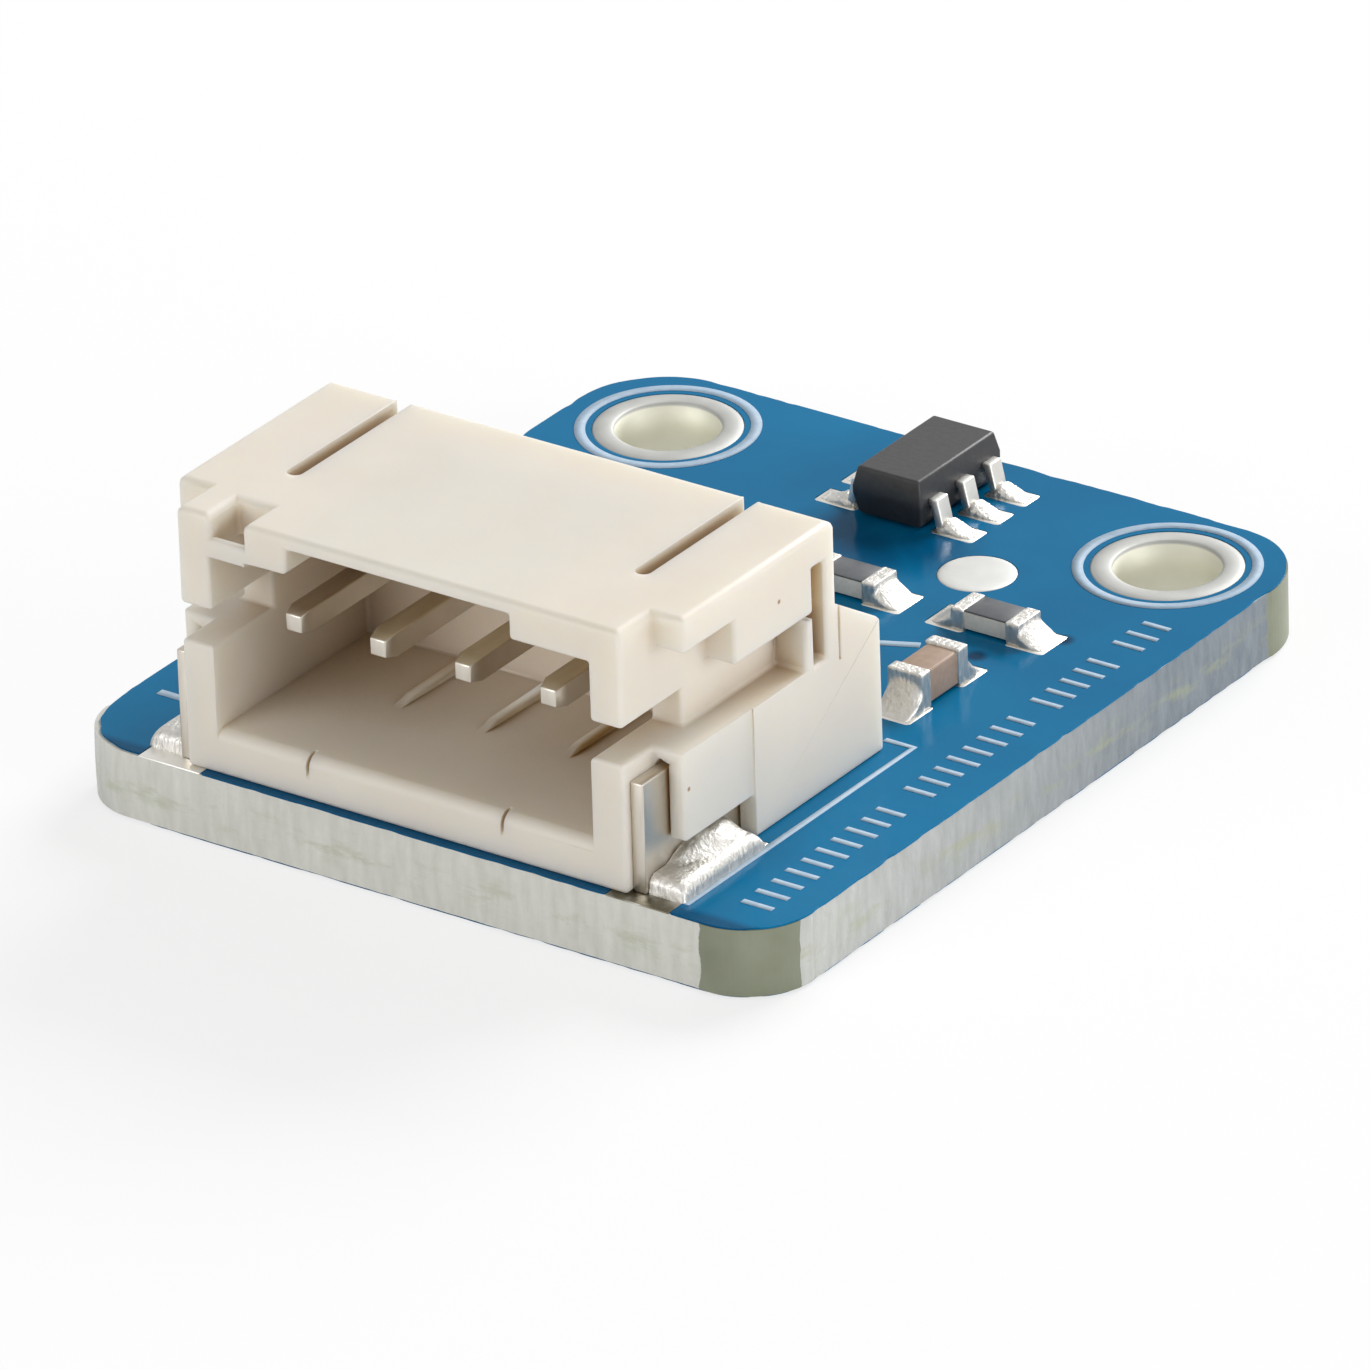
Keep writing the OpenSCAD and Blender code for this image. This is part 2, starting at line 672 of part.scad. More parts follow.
// Solder fillets at the sensor's lead tips.
module sensor_solder() color(solder_grey) at_sensor()
    for (s = [left, right])
        for (k = [-1:1])
            translate([s * lead_tip, k * lead_pitch + lead_w / 2, 0]) rotate([90, 0, 0])
                linear_extrude(height = lead_w) mirror([s < 0 ? 1 : 0, 0])
                    fillet_profile(sensor_toe - pad_margin, lead_t);

module at_top() {
    translate([0, 0, board_t]) children();
}

// Core of a chip between its end caps' inner skins.
module chip_core(h) {
    span(-chip_l / 2 + cap_t, chip_l / 2 - cap_t, -chip_w / 2 + cap_t, chip_w / 2 - cap_t,
        cap_t, h - cap_t);
}

// Metal cap wrapped round one end of a chip.
module chip_cap(s, h) {
    difference() {
        side_span(s, chip_l / 2 - cap_l, chip_l / 2, -chip_w / 2, chip_w / 2, 0, h);
        side_span(s, 0, chip_l / 2 - cap_t, -chip_w / 2 + cap_t, chip_w / 2 - cap_t,
            cap_t, h - cap_t);
    }
}

// Fillets between the caps and the outer parts of the pads.
module chip_solder(h) {
    for (s = [left, right])
        translate([s * chip_l / 2, chip_w / 2, 0]) rotate([90, 0, 0])
            linear_extrude(height = chip_w) mirror([s < 0 ? 1 : 0, 0])
                fillet_profile((pad_reach - chip_l) / 2 - pad_margin, h * solder_climb);
}

module resistor_overcoat() {
    inner = chip_l / 2 - cap_l;
    span(-inner, inner, -chip_w / 2 + cap_t, chip_w / 2 - cap_t,
        resistor_h - cap_t, resistor_h - cap_t + overcoat_t);
}

module resistor_a_body() color(ceramic) at_resistor_a() at_top() chip_core(resistor_h);

module resistor_a_overcoat() color(coat_dark) at_resistor_a() at_top() resistor_overcoat();

module resistor_a_cap(s) color(tin) at_resistor_a() at_top() chip_cap(s, resistor_h);

module resistor_a_solder() color(solder_grey) at_resistor_a() at_top() chip_solder(resistor_h);

module resistor_b_body() color(ceramic) at_resistor_b() at_top() chip_core(resistor_h);

module resistor_b_overcoat() color(coat_dark) at_resistor_b() at_top() resistor_overcoat();

module resistor_b_cap(s) color(tin) at_resistor_b() at_top() chip_cap(s, resistor_h);

module resistor_b_solder() color(solder_grey) at_resistor_b() at_top() chip_solder(resistor_h);

module capacitor_body() color(capacitor_tan) at_capacitor() at_top() chip_core(capacitor_h);

module capacitor_cap(s) color(tin) at_capacitor() at_top() chip_cap(s, capacitor_h);

module capacitor_solder() color(solder_grey) at_capacitor() at_top()
    chip_solder(capacitor_h);

board_laminate();
top_solder_mask();
bottom_solder_mask();
hole_plating(left);  // hole_plating_left
hole_plating(right);  // hole_plating_right
hold_down_pad(left);  // hold_down_pad_left
hold_down_pad(right);  // hold_down_pad_right
contact_pads();
sensor_pads();
resistor_a_pads();
resistor_b_pads();
capacitor_pads();
test_pad();
header_housing();
contact_pin(1);  // contact_pin_1
contact_pin(2);  // contact_pin_2
contact_pin(3);  // contact_pin_3
contact_pin(4);  // contact_pin_4
hold_down_tab(left);  // hold_down_tab_left
hold_down_tab(right);  // hold_down_tab_right
tab_solder(left);  // tab_solder_left
tab_solder(right);  // tab_solder_right
contact_solder();
sensor_body();
sensor_lead(1);  // sensor_lead_1
sensor_lead(2);  // sensor_lead_2
sensor_lead(3);  // sensor_lead_3
sensor_lead(4);  // sensor_lead_4
sensor_lead(5);  // sensor_lead_5
sensor_lead(6);  // sensor_lead_6
sensor_solder();
resistor_a_body();
resistor_a_overcoat();
resistor_a_cap(left);  // resistor_a_cap_left
resistor_a_cap(right);  // resistor_a_cap_right
resistor_a_solder();
resistor_b_body();
resistor_b_overcoat();
resistor_b_cap(left);  // resistor_b_cap_left
resistor_b_cap(right);  // resistor_b_cap_right
resistor_b_solder();
capacitor_body();
capacitor_cap(left);  // capacitor_cap_front
capacitor_cap(right);  // capacitor_cap_rear
capacitor_solder();
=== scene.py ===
# %% [markdown]
# # A hall effect sensor module
# A small blue circuit board carries a moulded four-pin header, a six-lead sensor chip, two chip
# resistors and one chip capacitor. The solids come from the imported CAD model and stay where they
# are. Each step below takes one piece or one finish and gives it the look of the real one.

# %% Load the frame
import math

import bmesh
import bpy
from mathutils import Matrix, Vector, noise


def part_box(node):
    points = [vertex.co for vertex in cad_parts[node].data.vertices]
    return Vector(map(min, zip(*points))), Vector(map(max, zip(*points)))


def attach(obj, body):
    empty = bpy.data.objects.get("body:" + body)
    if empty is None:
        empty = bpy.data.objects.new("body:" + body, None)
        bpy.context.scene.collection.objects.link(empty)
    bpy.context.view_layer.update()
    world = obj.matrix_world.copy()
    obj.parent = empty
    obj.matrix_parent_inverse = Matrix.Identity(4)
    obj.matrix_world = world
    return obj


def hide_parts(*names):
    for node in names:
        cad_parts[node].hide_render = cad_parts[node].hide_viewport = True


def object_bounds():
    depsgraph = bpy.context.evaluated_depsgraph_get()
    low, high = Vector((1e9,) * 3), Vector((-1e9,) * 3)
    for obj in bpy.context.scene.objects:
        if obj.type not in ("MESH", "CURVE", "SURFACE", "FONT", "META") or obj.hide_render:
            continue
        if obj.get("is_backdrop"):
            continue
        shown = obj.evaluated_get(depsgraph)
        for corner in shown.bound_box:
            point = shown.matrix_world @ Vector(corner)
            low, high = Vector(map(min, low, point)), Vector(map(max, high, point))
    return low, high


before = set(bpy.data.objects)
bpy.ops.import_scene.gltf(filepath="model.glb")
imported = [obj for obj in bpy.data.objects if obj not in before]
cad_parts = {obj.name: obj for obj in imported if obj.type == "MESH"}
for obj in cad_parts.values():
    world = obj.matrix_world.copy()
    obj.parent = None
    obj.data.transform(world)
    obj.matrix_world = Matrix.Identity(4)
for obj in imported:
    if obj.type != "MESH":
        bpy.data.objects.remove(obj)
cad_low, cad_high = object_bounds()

MM = 0.001
print("nodes", len(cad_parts), "box in mm", [round(v / MM, 2) for v in cad_high - cad_low])

# %% [markdown]
# ## Camera
# The photograph was taken with a long lens from the front right, about 27 degrees above the
# table. The camera's place and lens come from straight edges measured in the photograph: parallel
# edges of the board hardly run together, so the lens is long and the camera stands far away.

# %% Camera
EYE = Vector((163.012, -227.789, 142.616)) * MM
AZIMUTH, ELEVATION, ROLL = 0.6223, 0.4694, -0.033
LENS = 419.66


def place_camera():
    back = Vector((math.sin(AZIMUTH) * math.cos(ELEVATION),
                   -math.cos(AZIMUTH) * math.cos(ELEVATION), math.sin(ELEVATION)))
    side = Vector((math.cos(AZIMUTH), math.sin(AZIMUTH), 0))
    up = back.cross(side)
    turned = math.cos(ROLL) * side + math.sin(ROLL) * up
    axes = Matrix((turned, back.cross(turned), back)).transposed()
    lens = bpy.data.cameras.new("studio_camera")
    lens.sensor_width = 36
    lens.lens = LENS
    lens.clip_start = 0.01
    lens.clip_end = 10
    camera = bpy.data.objects.new("studio_camera", lens)
    camera.matrix_world = Matrix.Translation(EYE) @ axes.to_4x4()
    bpy.context.scene.collection.objects.link(camera)
    bpy.context.scene.camera = camera


place_camera()
bpy.context.scene.view_settings.view_transform = "Standard"
print("camera at", [round(v, 3) for v in EYE], "lens", LENS)

# %% [markdown]
# ## Two helpers for node trees
# Colours are written as they look on a screen and turned to linear light by one function. One
# more function adds a node, sets its values and links it, so that a finish reads as a short list.


# %% Helpers for node trees
def ink(code, alpha=1.0):
    """A screen colour such as #A0B0C0 as linear light."""
    parts = [int(code[i:i + 2], 16) / 255 for i in (1, 3, 5)]
    return (*[v / 12.92 if v <= 0.04045 else ((v + 0.055) / 1.055) ** 2.4 for v in parts], alpha)


def add(tree, kind, inputs=None, **settings):
    """One node: settings are its own, inputs are numbers, colours or the sockets to link."""
    made = tree.nodes.new(kind)
    for name, value in settings.items():
        setattr(made, name, value)
    for name, value in (inputs or {}).items():
        if isinstance(value, bpy.types.NodeSocket):
            tree.links.new(value, made.inputs[name])
        else:
            made.inputs[name].default_value = value
    return made


print("white is", ink("#FFFFFF")[:3])

# %% [markdown]
# ## Floor and light
# The object stands on a white table under soft studio light. The floor shows white to the camera
# and in reflections, and keeps a soft shadow. A large lamp stands above and a little behind, two
# weaker ones in front and at the right, at a level where a colour looks about as it is written.

# %% Floor and light
FLOOR_R = 0.6
WORLD_LIGHT = 0.36


def seen_directly(tree):
    """1 for rays from the camera, from reflections and through glass, and 0 for the rest."""
    path = add(tree, "ShaderNodeLightPath")
    first = add(tree, "ShaderNodeMath", {0: path.outputs["Is Camera Ray"],
                                         1: path.outputs["Is Glossy Ray"]}, operation="MAXIMUM")
    return add(tree, "ShaderNodeMath", {0: first.outputs[0],
                                        1: path.outputs["Is Transmission Ray"]},
               operation="MAXIMUM").outputs[0]


def white_table():
    made = bpy.data.materials.new("white_table_paper")
    made.use_nodes = True
    tree = made.node_tree
    tree.nodes.clear()
    place = add(tree, "ShaderNodeTexCoord")
    reach = add(tree, "ShaderNodeVectorMath", {0: place.outputs["Object"]}, operation="LENGTH")
    far = add(tree, "ShaderNodeMapRange", {"Value": reach.outputs["Value"], "From Min": 0.012,
                                           "From Max": 0.05, "To Min": 0.72, "To Max": 1.0})
    near = add(tree, "ShaderNodeMath", {0: 1.0, 1: far.outputs[0]}, operation="SUBTRACT")
    paper = add(tree, "ShaderNodeBsdfDiffuse", {"Color": ink("#F4F4F4")})
    shade = add(tree, "ShaderNodeBsdfDiffuse", {"Color": near.outputs[0]})
    glow = add(tree, "ShaderNodeEmission", {"Strength": far.outputs[0]})
    shown = add(tree, "ShaderNodeAddShader", {0: shade.outputs[0], 1: glow.outputs[0]})
    mix = add(tree, "ShaderNodeMixShader", {0: seen_directly(tree), 1: paper.outputs[0],
                                            2: shown.outputs[0]})
    add(tree, "ShaderNodeOutputMaterial", {"Surface": mix.outputs[0]})
    return made


def floor_disc():
    bm = bmesh.new()
    bmesh.ops.create_circle(bm, cap_ends=True, segments=96, radius=FLOOR_R)
    bmesh.ops.translate(bm, verts=bm.verts, vec=(0, 0, cad_low.z - 0.00002))
    mesh = bpy.data.meshes.new("table")
    bm.to_mesh(mesh)
    mesh.materials.append(white_table())
    table = bpy.data.objects.new("table", mesh)
    bpy.context.scene.collection.objects.link(table)
    table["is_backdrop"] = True


def studio_air():
    world = bpy.data.worlds.new("studio_air")
    bpy.context.scene.world = world
    world.use_nodes = True
    tree = world.node_tree
    tree.nodes.clear()
    strength = add(tree, "ShaderNodeMapRange", {"Value": seen_directly(tree),
                                                "To Min": WORLD_LIGHT, "To Max": 1.0})
    air = add(tree, "ShaderNodeBackground", {"Strength": strength.outputs[0]})
    add(tree, "ShaderNodeOutputWorld", {"Surface": air.outputs[0]})


def softbox(name, place, size, power):
    lamp = bpy.data.lights.new(name, "AREA")
    lamp.shape = "RECTANGLE"
    lamp.size, lamp.size_y = size
    lamp.energy = power
    holder = bpy.data.objects.new(name, lamp)
    holder.location = place
    holder.rotation_euler = (-Vector(place)).to_track_quat("-Z", "Y").to_euler()
    bpy.context.scene.collection.objects.link(holder)


floor_disc()
studio_air()
softbox("lamp_above", (0.02, 0.28, 0.19), (0.20, 0.15), 1.08)
softbox("lamp_front", (-0.10, -0.32, 0.11), (0.20, 0.16), 0.42)
softbox("lamp_right", (0.33, 0.0, 0.09), (0.20, 0.16), 0.46)
print("world light", WORLD_LIGHT)

# %% [markdown]
# ## Finishes
# Every finish is named for the real material and for how its surface was made. Patterns read the
# Object coordinates, which are metres on the part, so a scale is one over a length in metres.


# %% A start for every finish
def start_finish(name, **values):
    """A new material with the shader's plain numbers set; returns it, its tree and its parts."""
    made = bpy.data.materials.new(name)
    made.use_nodes = True
    tree = made.node_tree
    tree.nodes.clear()
    shader = add(tree, "ShaderNodeBsdfPrincipled",
                 {key.replace("_", " "): value for key, value in values.items()})
    add(tree, "ShaderNodeOutputMaterial", {"Surface": shader.outputs[0]})
    place = add(tree, "ShaderNodeTexCoord").outputs["Object"]
    return made, tree, shader, place


def per_mm(length):
    """The scale at which a pattern repeats about once in this many millimetres."""
    return 1 / (length * MM)


def bump(tree, shader, height, depth):
    """Lets a height pattern tilt the surface; depth is in millimetres."""
    made = add(tree, "ShaderNodeBump", {"Height": height, "Distance": depth * MM})
    tree.links.new(made.outputs[0], shader.inputs["Normal"])


def near_points(tree, place, points, radius, soft):
    """1 within radius millimetres of any of the points (in millimetres), 0 beyond soft more."""
    total = None
    for point in points:
        away = add(tree, "ShaderNodeVectorMath", {0: place, 1: [v * MM for v in point]},
                   operation="DISTANCE")
        spot = add(tree, "ShaderNodeMapRange", {
            "Value": away.outputs["Value"], "From Min": radius * MM,
            "From Max": (radius + soft) * MM, "To Min": 1.0, "To Max": 0.0}).outputs[0]
        total = spot if total is None else add(tree, "ShaderNodeMath", {0: total, 1: spot},
                                               operation="MAXIMUM").outputs[0]
    return total


print("one cycle in 0.5 mm is a scale of", per_mm(0.5))

# %% [markdown]
# ### Solder mask
# Liquid photo-imaged solder mask: blue epoxy ink, poured over the board as a wet film and cured.
# It dries glossy with a faint orange peel and a little lighter where it lies thicker, and it sinks
# into the small holes between the two copper layers as dark dots. Before the sensor and along the
# front edge by the header it is painted darker: painted shade, where the sensor and the header keep
# off the lamp behind. The reflected white of the studio is very weak in the photograph, so the index
# is matched lower than epoxy's 1.5.

# %% Solder mask
SUNKEN_HOLES = [(4.99, 2.29, 1.5), (6.06, 3.76, 1.5)]
# Painted shade: round these points before the sensor the ink is painted darker.
SHADED_FIELDS = [(-0.4, 5.5, 1.5), (0.3, 5.2, 1.5), (0.9, 4.9, 1.5), (1.5, 5.6, 1.5)]


def cured_mask():
    made, tree, shader, place = start_finish("solder_mask_cured_ink", IOR=1.17)
    drift = add(tree, "ShaderNodeTexNoise", {"Vector": place, "Scale": per_mm(3.5), "Detail": 3})
    tone = add(tree, "ShaderNodeMix", {"Factor": drift.outputs["Fac"], 6: ink("#006392"),
                                       7: ink("#057DAD")}, data_type="RGBA")
    # Painted shade: before the sensor and along the front edge, before the header, the ink is mixed
    # towards a dark blue.
    sensor_shade = near_points(tree, place, SHADED_FIELDS, 0.3, 1.1)
    at = add(tree, "ShaderNodeSeparateXYZ", {0: place})
    front_edge_shade = add(tree, "ShaderNodeMapRange", {"Value": at.outputs["Y"], "From Min": -9.5 * MM,
                                             "From Max": -9.3 * MM, "To Min": 1.0, "To Max": 0.0})
    painted_shade = add(tree, "ShaderNodeMath", {0: sensor_shade, 1: front_edge_shade.outputs[0]}, operation="MAXIMUM")
    share = add(tree, "ShaderNodeMath", {0: painted_shade.outputs[0], 1: 0.75}, operation="MULTIPLY")
    ground = add(tree, "ShaderNodeMix", {"Factor": share.outputs[0], 6: tone.outputs[2],
                                         7: ink("#00466E")}, data_type="RGBA")
    dots = near_points(tree, place, SUNKEN_HOLES, 0.12, 0.16)
    dotted = add(tree, "ShaderNodeMix", {"Factor": dots, 6: ground.outputs[2],
                                         7: ink("#003C5E")}, data_type="RGBA")
    tree.links.new(dotted.outputs[2], shader.inputs["Base Color"])
    gloss = add(tree, "ShaderNodeMapRange", {"Value": drift.outputs["Fac"], "To Min": 0.10,
                                             "To Max": 0.22})
    tree.links.new(gloss.outputs[0], shader.inputs["Roughness"])
    peel = add(tree, "ShaderNodeTexNoise", {"Vector": place, "Scale": per_mm(0.5), "Detail": 1})
    bump(tree, shader, peel.outputs["Fac"], 0.002)
    return made


MASK = cured_mask()
print(MASK.name)

# %% [markdown]
# ### Glass epoxy
# The board's core is woven glass in epoxy. Its straight sides were scored and snapped, which leaves a
# whitish face of broken glass with fine upright streaks and a few yellow-green patches at mid height.
# The two long sides, picked out by the way they face, are painted darker and more blue, the more so
# towards the rear: painted shade. Three corners were milled, which leaves a smooth grey-green face. A
# mesh attribute called snapped, 1 on the broken sides, chooses between the two, and noise makes their
# border ragged as in the photograph.

# %% Glass epoxy
MID_BOARD = 0.7


def broken_glass(tree, place):
    """The whitish broken face: streaks everywhere, green patches along the middle."""
    upright = add(tree, "ShaderNodeMapping", {"Vector": place, "Scale": (1, 1, 0.22)})
    streaks = add(tree, "ShaderNodeTexNoise", {"Vector": upright.outputs[0],
                                               "Scale": per_mm(0.22), "Detail": 4})
    end = add(tree, "ShaderNodeMix", {"Factor": streaks.outputs["Fac"], 6: ink("#C8C8BD"),
                                      7: ink("#EEEEE8")}, data_type="RGBA")
    # Painted shade: faces turned sideways take this darker, more blue tone, the more so towards the
    # rear.
    shaded_flank = add(tree, "ShaderNodeMix", {"Factor": streaks.outputs["Fac"], 6: ink("#646F7A"),
                                        7: ink("#9AA2A9")}, data_type="RGBA")
    facing = add(tree, "ShaderNodeSeparateXYZ",
                 {0: add(tree, "ShaderNodeTexCoord").outputs["Normal"]})
    sideways = add(tree, "ShaderNodeMath", {0: facing.outputs["X"]}, operation="ABSOLUTE")
    height = add(tree, "ShaderNodeSeparateXYZ", {0: place})
    rear_shade = add(tree, "ShaderNodeMapRange", {"Value": height.outputs["Y"], "From Min": -8.5 * MM,
                                             "From Max": 4.0 * MM, "To Min": 0.3})
    share = add(tree, "ShaderNodeMath", {0: sideways.outputs[0], 1: rear_shade.outputs[0]},
                operation="MULTIPLY")
    face = add(tree, "ShaderNodeMix", {"Factor": share.outputs[0], 6: end.outputs[2],
                                       7: shaded_flank.outputs[2]}, data_type="RGBA")
    off_middle = add(tree, "ShaderNodeMath", {0: height.outputs["Z"], 1: MID_BOARD * MM},
                     operation="SUBTRACT")
    away = add(tree, "ShaderNodeMath", {0: off_middle.outputs[0]}, operation="ABSOLUTE")
    belt = add(tree, "ShaderNodeMapRange", {"Value": away.outputs[0], "From Min": 0.05 * MM,
                                            "From Max": 0.5 * MM, "To Min": 1.0, "To Max": 0.0})
    lying = add(tree, "ShaderNodeMapping", {"Vector": place, "Scale": (0.45, 0.45, 1.3)})
    blots = add(tree, "ShaderNodeTexNoise", {"Vector": lying.outputs[0], "Scale": per_mm(0.55),
                                             "Detail": 5, "Roughness": 0.65})
    patch = add(tree, "ShaderNodeMapRange", {"Value": blots.outputs["Fac"], "From Min": 0.5,
                                             "From Max": 0.66, "To Max": 0.45})
    green = add(tree, "ShaderNodeMath", {0: patch.outputs[0], 1: belt.outputs[0]},
                operation="MULTIPLY")
    return add(tree, "ShaderNodeMix", {"Factor": green.outputs[0], 6: face.outputs[2],
                                       7: ink("#A9AE86")}, data_type="RGBA").outputs[2]


def snapped_glass_epoxy():
    made, tree, shader, place = start_finish("glass_epoxy_snapped_and_milled", IOR=1.5)
    which = add(tree, "ShaderNodeAttribute", attribute_name="snapped")
    ragged = add(tree, "ShaderNodeTexNoise", {"Vector": place, "Scale": per_mm(0.5), "Detail": 4})
    border = add(tree, "ShaderNodeMath", {0: which.outputs["Fac"], 1: ragged.outputs["Fac"]},
                 operation="ADD")
    edge = add(tree, "ShaderNodeMapRange", {"Value": border.outputs[0], "From Min": 0.94,
                                            "From Max": 1.02})
    cloud = add(tree, "ShaderNodeTexNoise", {"Vector": place, "Scale": per_mm(0.8), "Detail": 3})
    milled = add(tree, "ShaderNodeMix", {"Factor": cloud.outputs["Fac"], 6: ink("#767B64"),
                                         7: ink("#929682")}, data_type="RGBA")
    tone = add(tree, "ShaderNodeMix", {"Factor": edge.outputs[0], 6: milled.outputs[2],
                                       7: broken_glass(tree, place)}, data_type="RGBA")
    tree.links.new(tone.outputs[2], shader.inputs["Base Color"])
    gloss = add(tree, "ShaderNodeMapRange", {"Value": edge.outputs[0], "To Min": 0.38,
                                             "To Max": 0.7})
    tree.links.new(gloss.outputs[0], shader.inputs["Roughness"])
    fibres = add(tree, "ShaderNodeTexNoise", {"Vector": place, "Scale": per_mm(0.16),
                                              "Detail": 3})
    rough = add(tree, "ShaderNodeMath", {0: fibres.outputs["Fac"], 1: edge.outputs[0]},
                operation="MULTIPLY")
    bump(tree, shader, rough.outputs[0], 0.02)
    return made


LAMINATE = snapped_glass_epoxy()
print(LAMINATE.name)

# %% [markdown]
# ### Moulded nylon
# The header is injection-moulded nylon in its natural ivory. The mould's fine grain makes it satin.
# Nylon is translucent. In recesses the colour is painted darker and yellower as painted shade: an
# ambient occlusion node, which measures how enclosed a point is, leads from pale ivory to a deep
# yellow-brown. Two tiny brown specks of scorched plastic are left.

# %% Moulded nylon
SCORCHED = [(5.65, -8.42, 3.46), (5.70, -5.34, 6.14)]
ENCLOSED = 5.0


def moulded_nylon():
    made, tree, shader, place = start_finish(
        "natural_nylon_injection_moulded", IOR=1.45, Subsurface_Weight=0.55,
        Subsurface_Scale=1.1 * MM, Subsurface_Radius=(1.0, 0.85, 0.6))
    flow = add(tree, "ShaderNodeTexNoise", {"Vector": place, "Scale": per_mm(1.8), "Detail": 4})
    cream = add(tree, "ShaderNodeMix", {"Factor": flow.outputs["Fac"], 6: ink("#E7DDCF"),
                                        7: ink("#EFE7DA")}, data_type="RGBA")
    # Painted shade: the more enclosed a point, the darker and yellower its colour.
    open_sky = add(tree, "ShaderNodeAmbientOcclusion", {"Distance": ENCLOSED * MM}, samples=12,
                   only_local=True)
    depth = add(tree, "ShaderNodeMapRange", {"Value": open_sky.outputs["AO"], "From Min": 0.0,
                                             "From Max": 0.5, "To Min": 1.0, "To Max": 0.0})
    recess_shade = add(tree, "ShaderNodeMix", {"Factor": depth.outputs[0], 6: cream.outputs[2],
                                        7: ink("#9A7430")}, data_type="RGBA")
    speck = near_points(tree, place, SCORCHED, 0.03, 0.03)
    tone = add(tree, "ShaderNodeMix", {"Factor": speck, 6: recess_shade.outputs[2],
                                       7: ink("#A98B6B")}, data_type="RGBA")
    tree.links.new(tone.outputs[2], shader.inputs["Base Color"])
    gloss = add(tree, "ShaderNodeMapRange", {"Value": flow.outputs["Fac"], "To Min": 0.36,
                                             "To Max": 0.5})
    tree.links.new(gloss.outputs[0], shader.inputs["Roughness"])
    grain = add(tree, "ShaderNodeTexNoise", {"Vector": place, "Scale": per_mm(0.3), "Detail": 2})
    bump(tree, shader, grain.outputs["Fac"], 0.004)
    return made


NYLON = moulded_nylon()
print(NYLON.name)

# %% [markdown]
# ### Tin and solder
# The metals share one recipe. Small pads are copper dipped in molten tin: pale, lumpy and softly
# shiny. On the rings hot air levelled the tin to a duller skin, and their bores look olive where the
# light comes through the holes. The round pad's tin is a little paler and smooth. The contacts and
# hold-downs are drawn bronze with a thin tin plate, with fine marks along the wire. The solder was
# melted in an oven and is bright and finely wrinkled. By the right hold-down the pad turns dark brown
# towards its front end.


# %% Tin and solder
def pale_metal(name, dark, light, smooth, dull, wave, depth, stretch=(1, 1, 1)):
    """A tin surface: two tones and two roughnesses, drifting over wave millimetres."""
    made, tree, shader, place = start_finish(name, Metallic=1.0)
    along = add(tree, "ShaderNodeMapping", {"Vector": place, "Scale": stretch})
    drift = add(tree, "ShaderNodeTexNoise", {"Vector": along.outputs[0],
                                             "Scale": per_mm(wave), "Detail": 4})
    tone = add(tree, "ShaderNodeMix", {"Factor": drift.outputs["Fac"], 6: ink(dark),
                                       7: ink(light)}, data_type="RGBA")
    tree.links.new(tone.outputs[2], shader.inputs["Base Color"])
    gloss = add(tree, "ShaderNodeMapRange", {"Value": drift.outputs["Fac"], "To Min": smooth,
                                             "To Max": dull})
    tree.links.new(gloss.outputs[0], shader.inputs["Roughness"])
    bump(tree, shader, drift.outputs["Fac"], depth)
    return made


TINNED = pale_metal("copper_dipped_in_tin", "#D6D3CC", "#F1EFEA", 0.28, 0.45, 0.6, 0.012)
LEVELLED = pale_metal("copper_tinned_and_levelled", "#A2A29F", "#B7B7B4", 0.55, 0.7, 0.5, 0.006)
PLATED = pale_metal("bronze_tin_plated", "#B8B0A4", "#DDD7CC", 0.28, 0.44, 0.25, 0.006,
                    (1, 0.2, 0.2))
SOLDER = pale_metal("solder_reflowed", "#B9B6B0", "#E2E0DB", 0.36, 0.56, 0.09, 0.036,
                    (1, 1, 0.3))


def tinted_round(finish, points, code, radius, soft):
    """A copy of a finish that turns to the colour given round some points, in ragged patches."""
    made = finish.copy()
    made.name = finish.name + "_darker_at_front"
    tree = made.node_tree
    shader = next(node for node in tree.nodes if node.type == "BSDF_PRINCIPLED")
    clean = shader.inputs["Base Color"].links[0].from_socket
    place = add(tree, "ShaderNodeTexCoord").outputs["Object"]
    cloud = add(tree, "ShaderNodeTexNoise", {"Vector": place, "Scale": per_mm(0.5), "Detail": 3})
    spot = near_points(tree, place, points, radius, soft)
    share = add(tree, "ShaderNodeMath", {0: spot, 1: cloud.outputs["Fac"]}, operation="MULTIPLY")
    share = add(tree, "ShaderNodeMapRange", {"Value": share.outputs[0], "From Max": 0.5})
    mixed = add(tree, "ShaderNodeMix", {"Factor": share.outputs[0], 6: clean, 7: ink(code)},
                data_type="RGBA")
    tree.links.new(mixed.outputs[2], shader.inputs["Base Color"])
    return made


def olive_below(finish, height, code):
    """The finish turns to the colour given below a height in millimetres."""
    tree = finish.node_tree
    shader = next(node for node in tree.nodes if node.type == "BSDF_PRINCIPLED")
    clean = shader.inputs["Base Color"].links[0].from_socket
    place = add(tree, "ShaderNodeSeparateXYZ",
                {0: add(tree, "ShaderNodeTexCoord").outputs["Object"]})
    low = add(tree, "ShaderNodeMapRange", {"Value": place.outputs["Z"],
                                           "From Min": (height - 0.05) * MM,
                                           "From Max": height * MM, "To Min": 1.0, "To Max": 0.0})
    mixed = add(tree, "ShaderNodeMix", {"Factor": low.outputs[0], 6: clean, 7: ink(code)},
                data_type="RGBA")
    tree.links.new(mixed.outputs[2], shader.inputs["Base Color"])


olive_below(LEVELLED, 1.47, "#DAD9CB")
PAD_TIN = pale_metal("wide_copper_pad_tinned", "#BABAB7", "#D0D0CD", 0.5, 0.65, 0.5, 0.006)
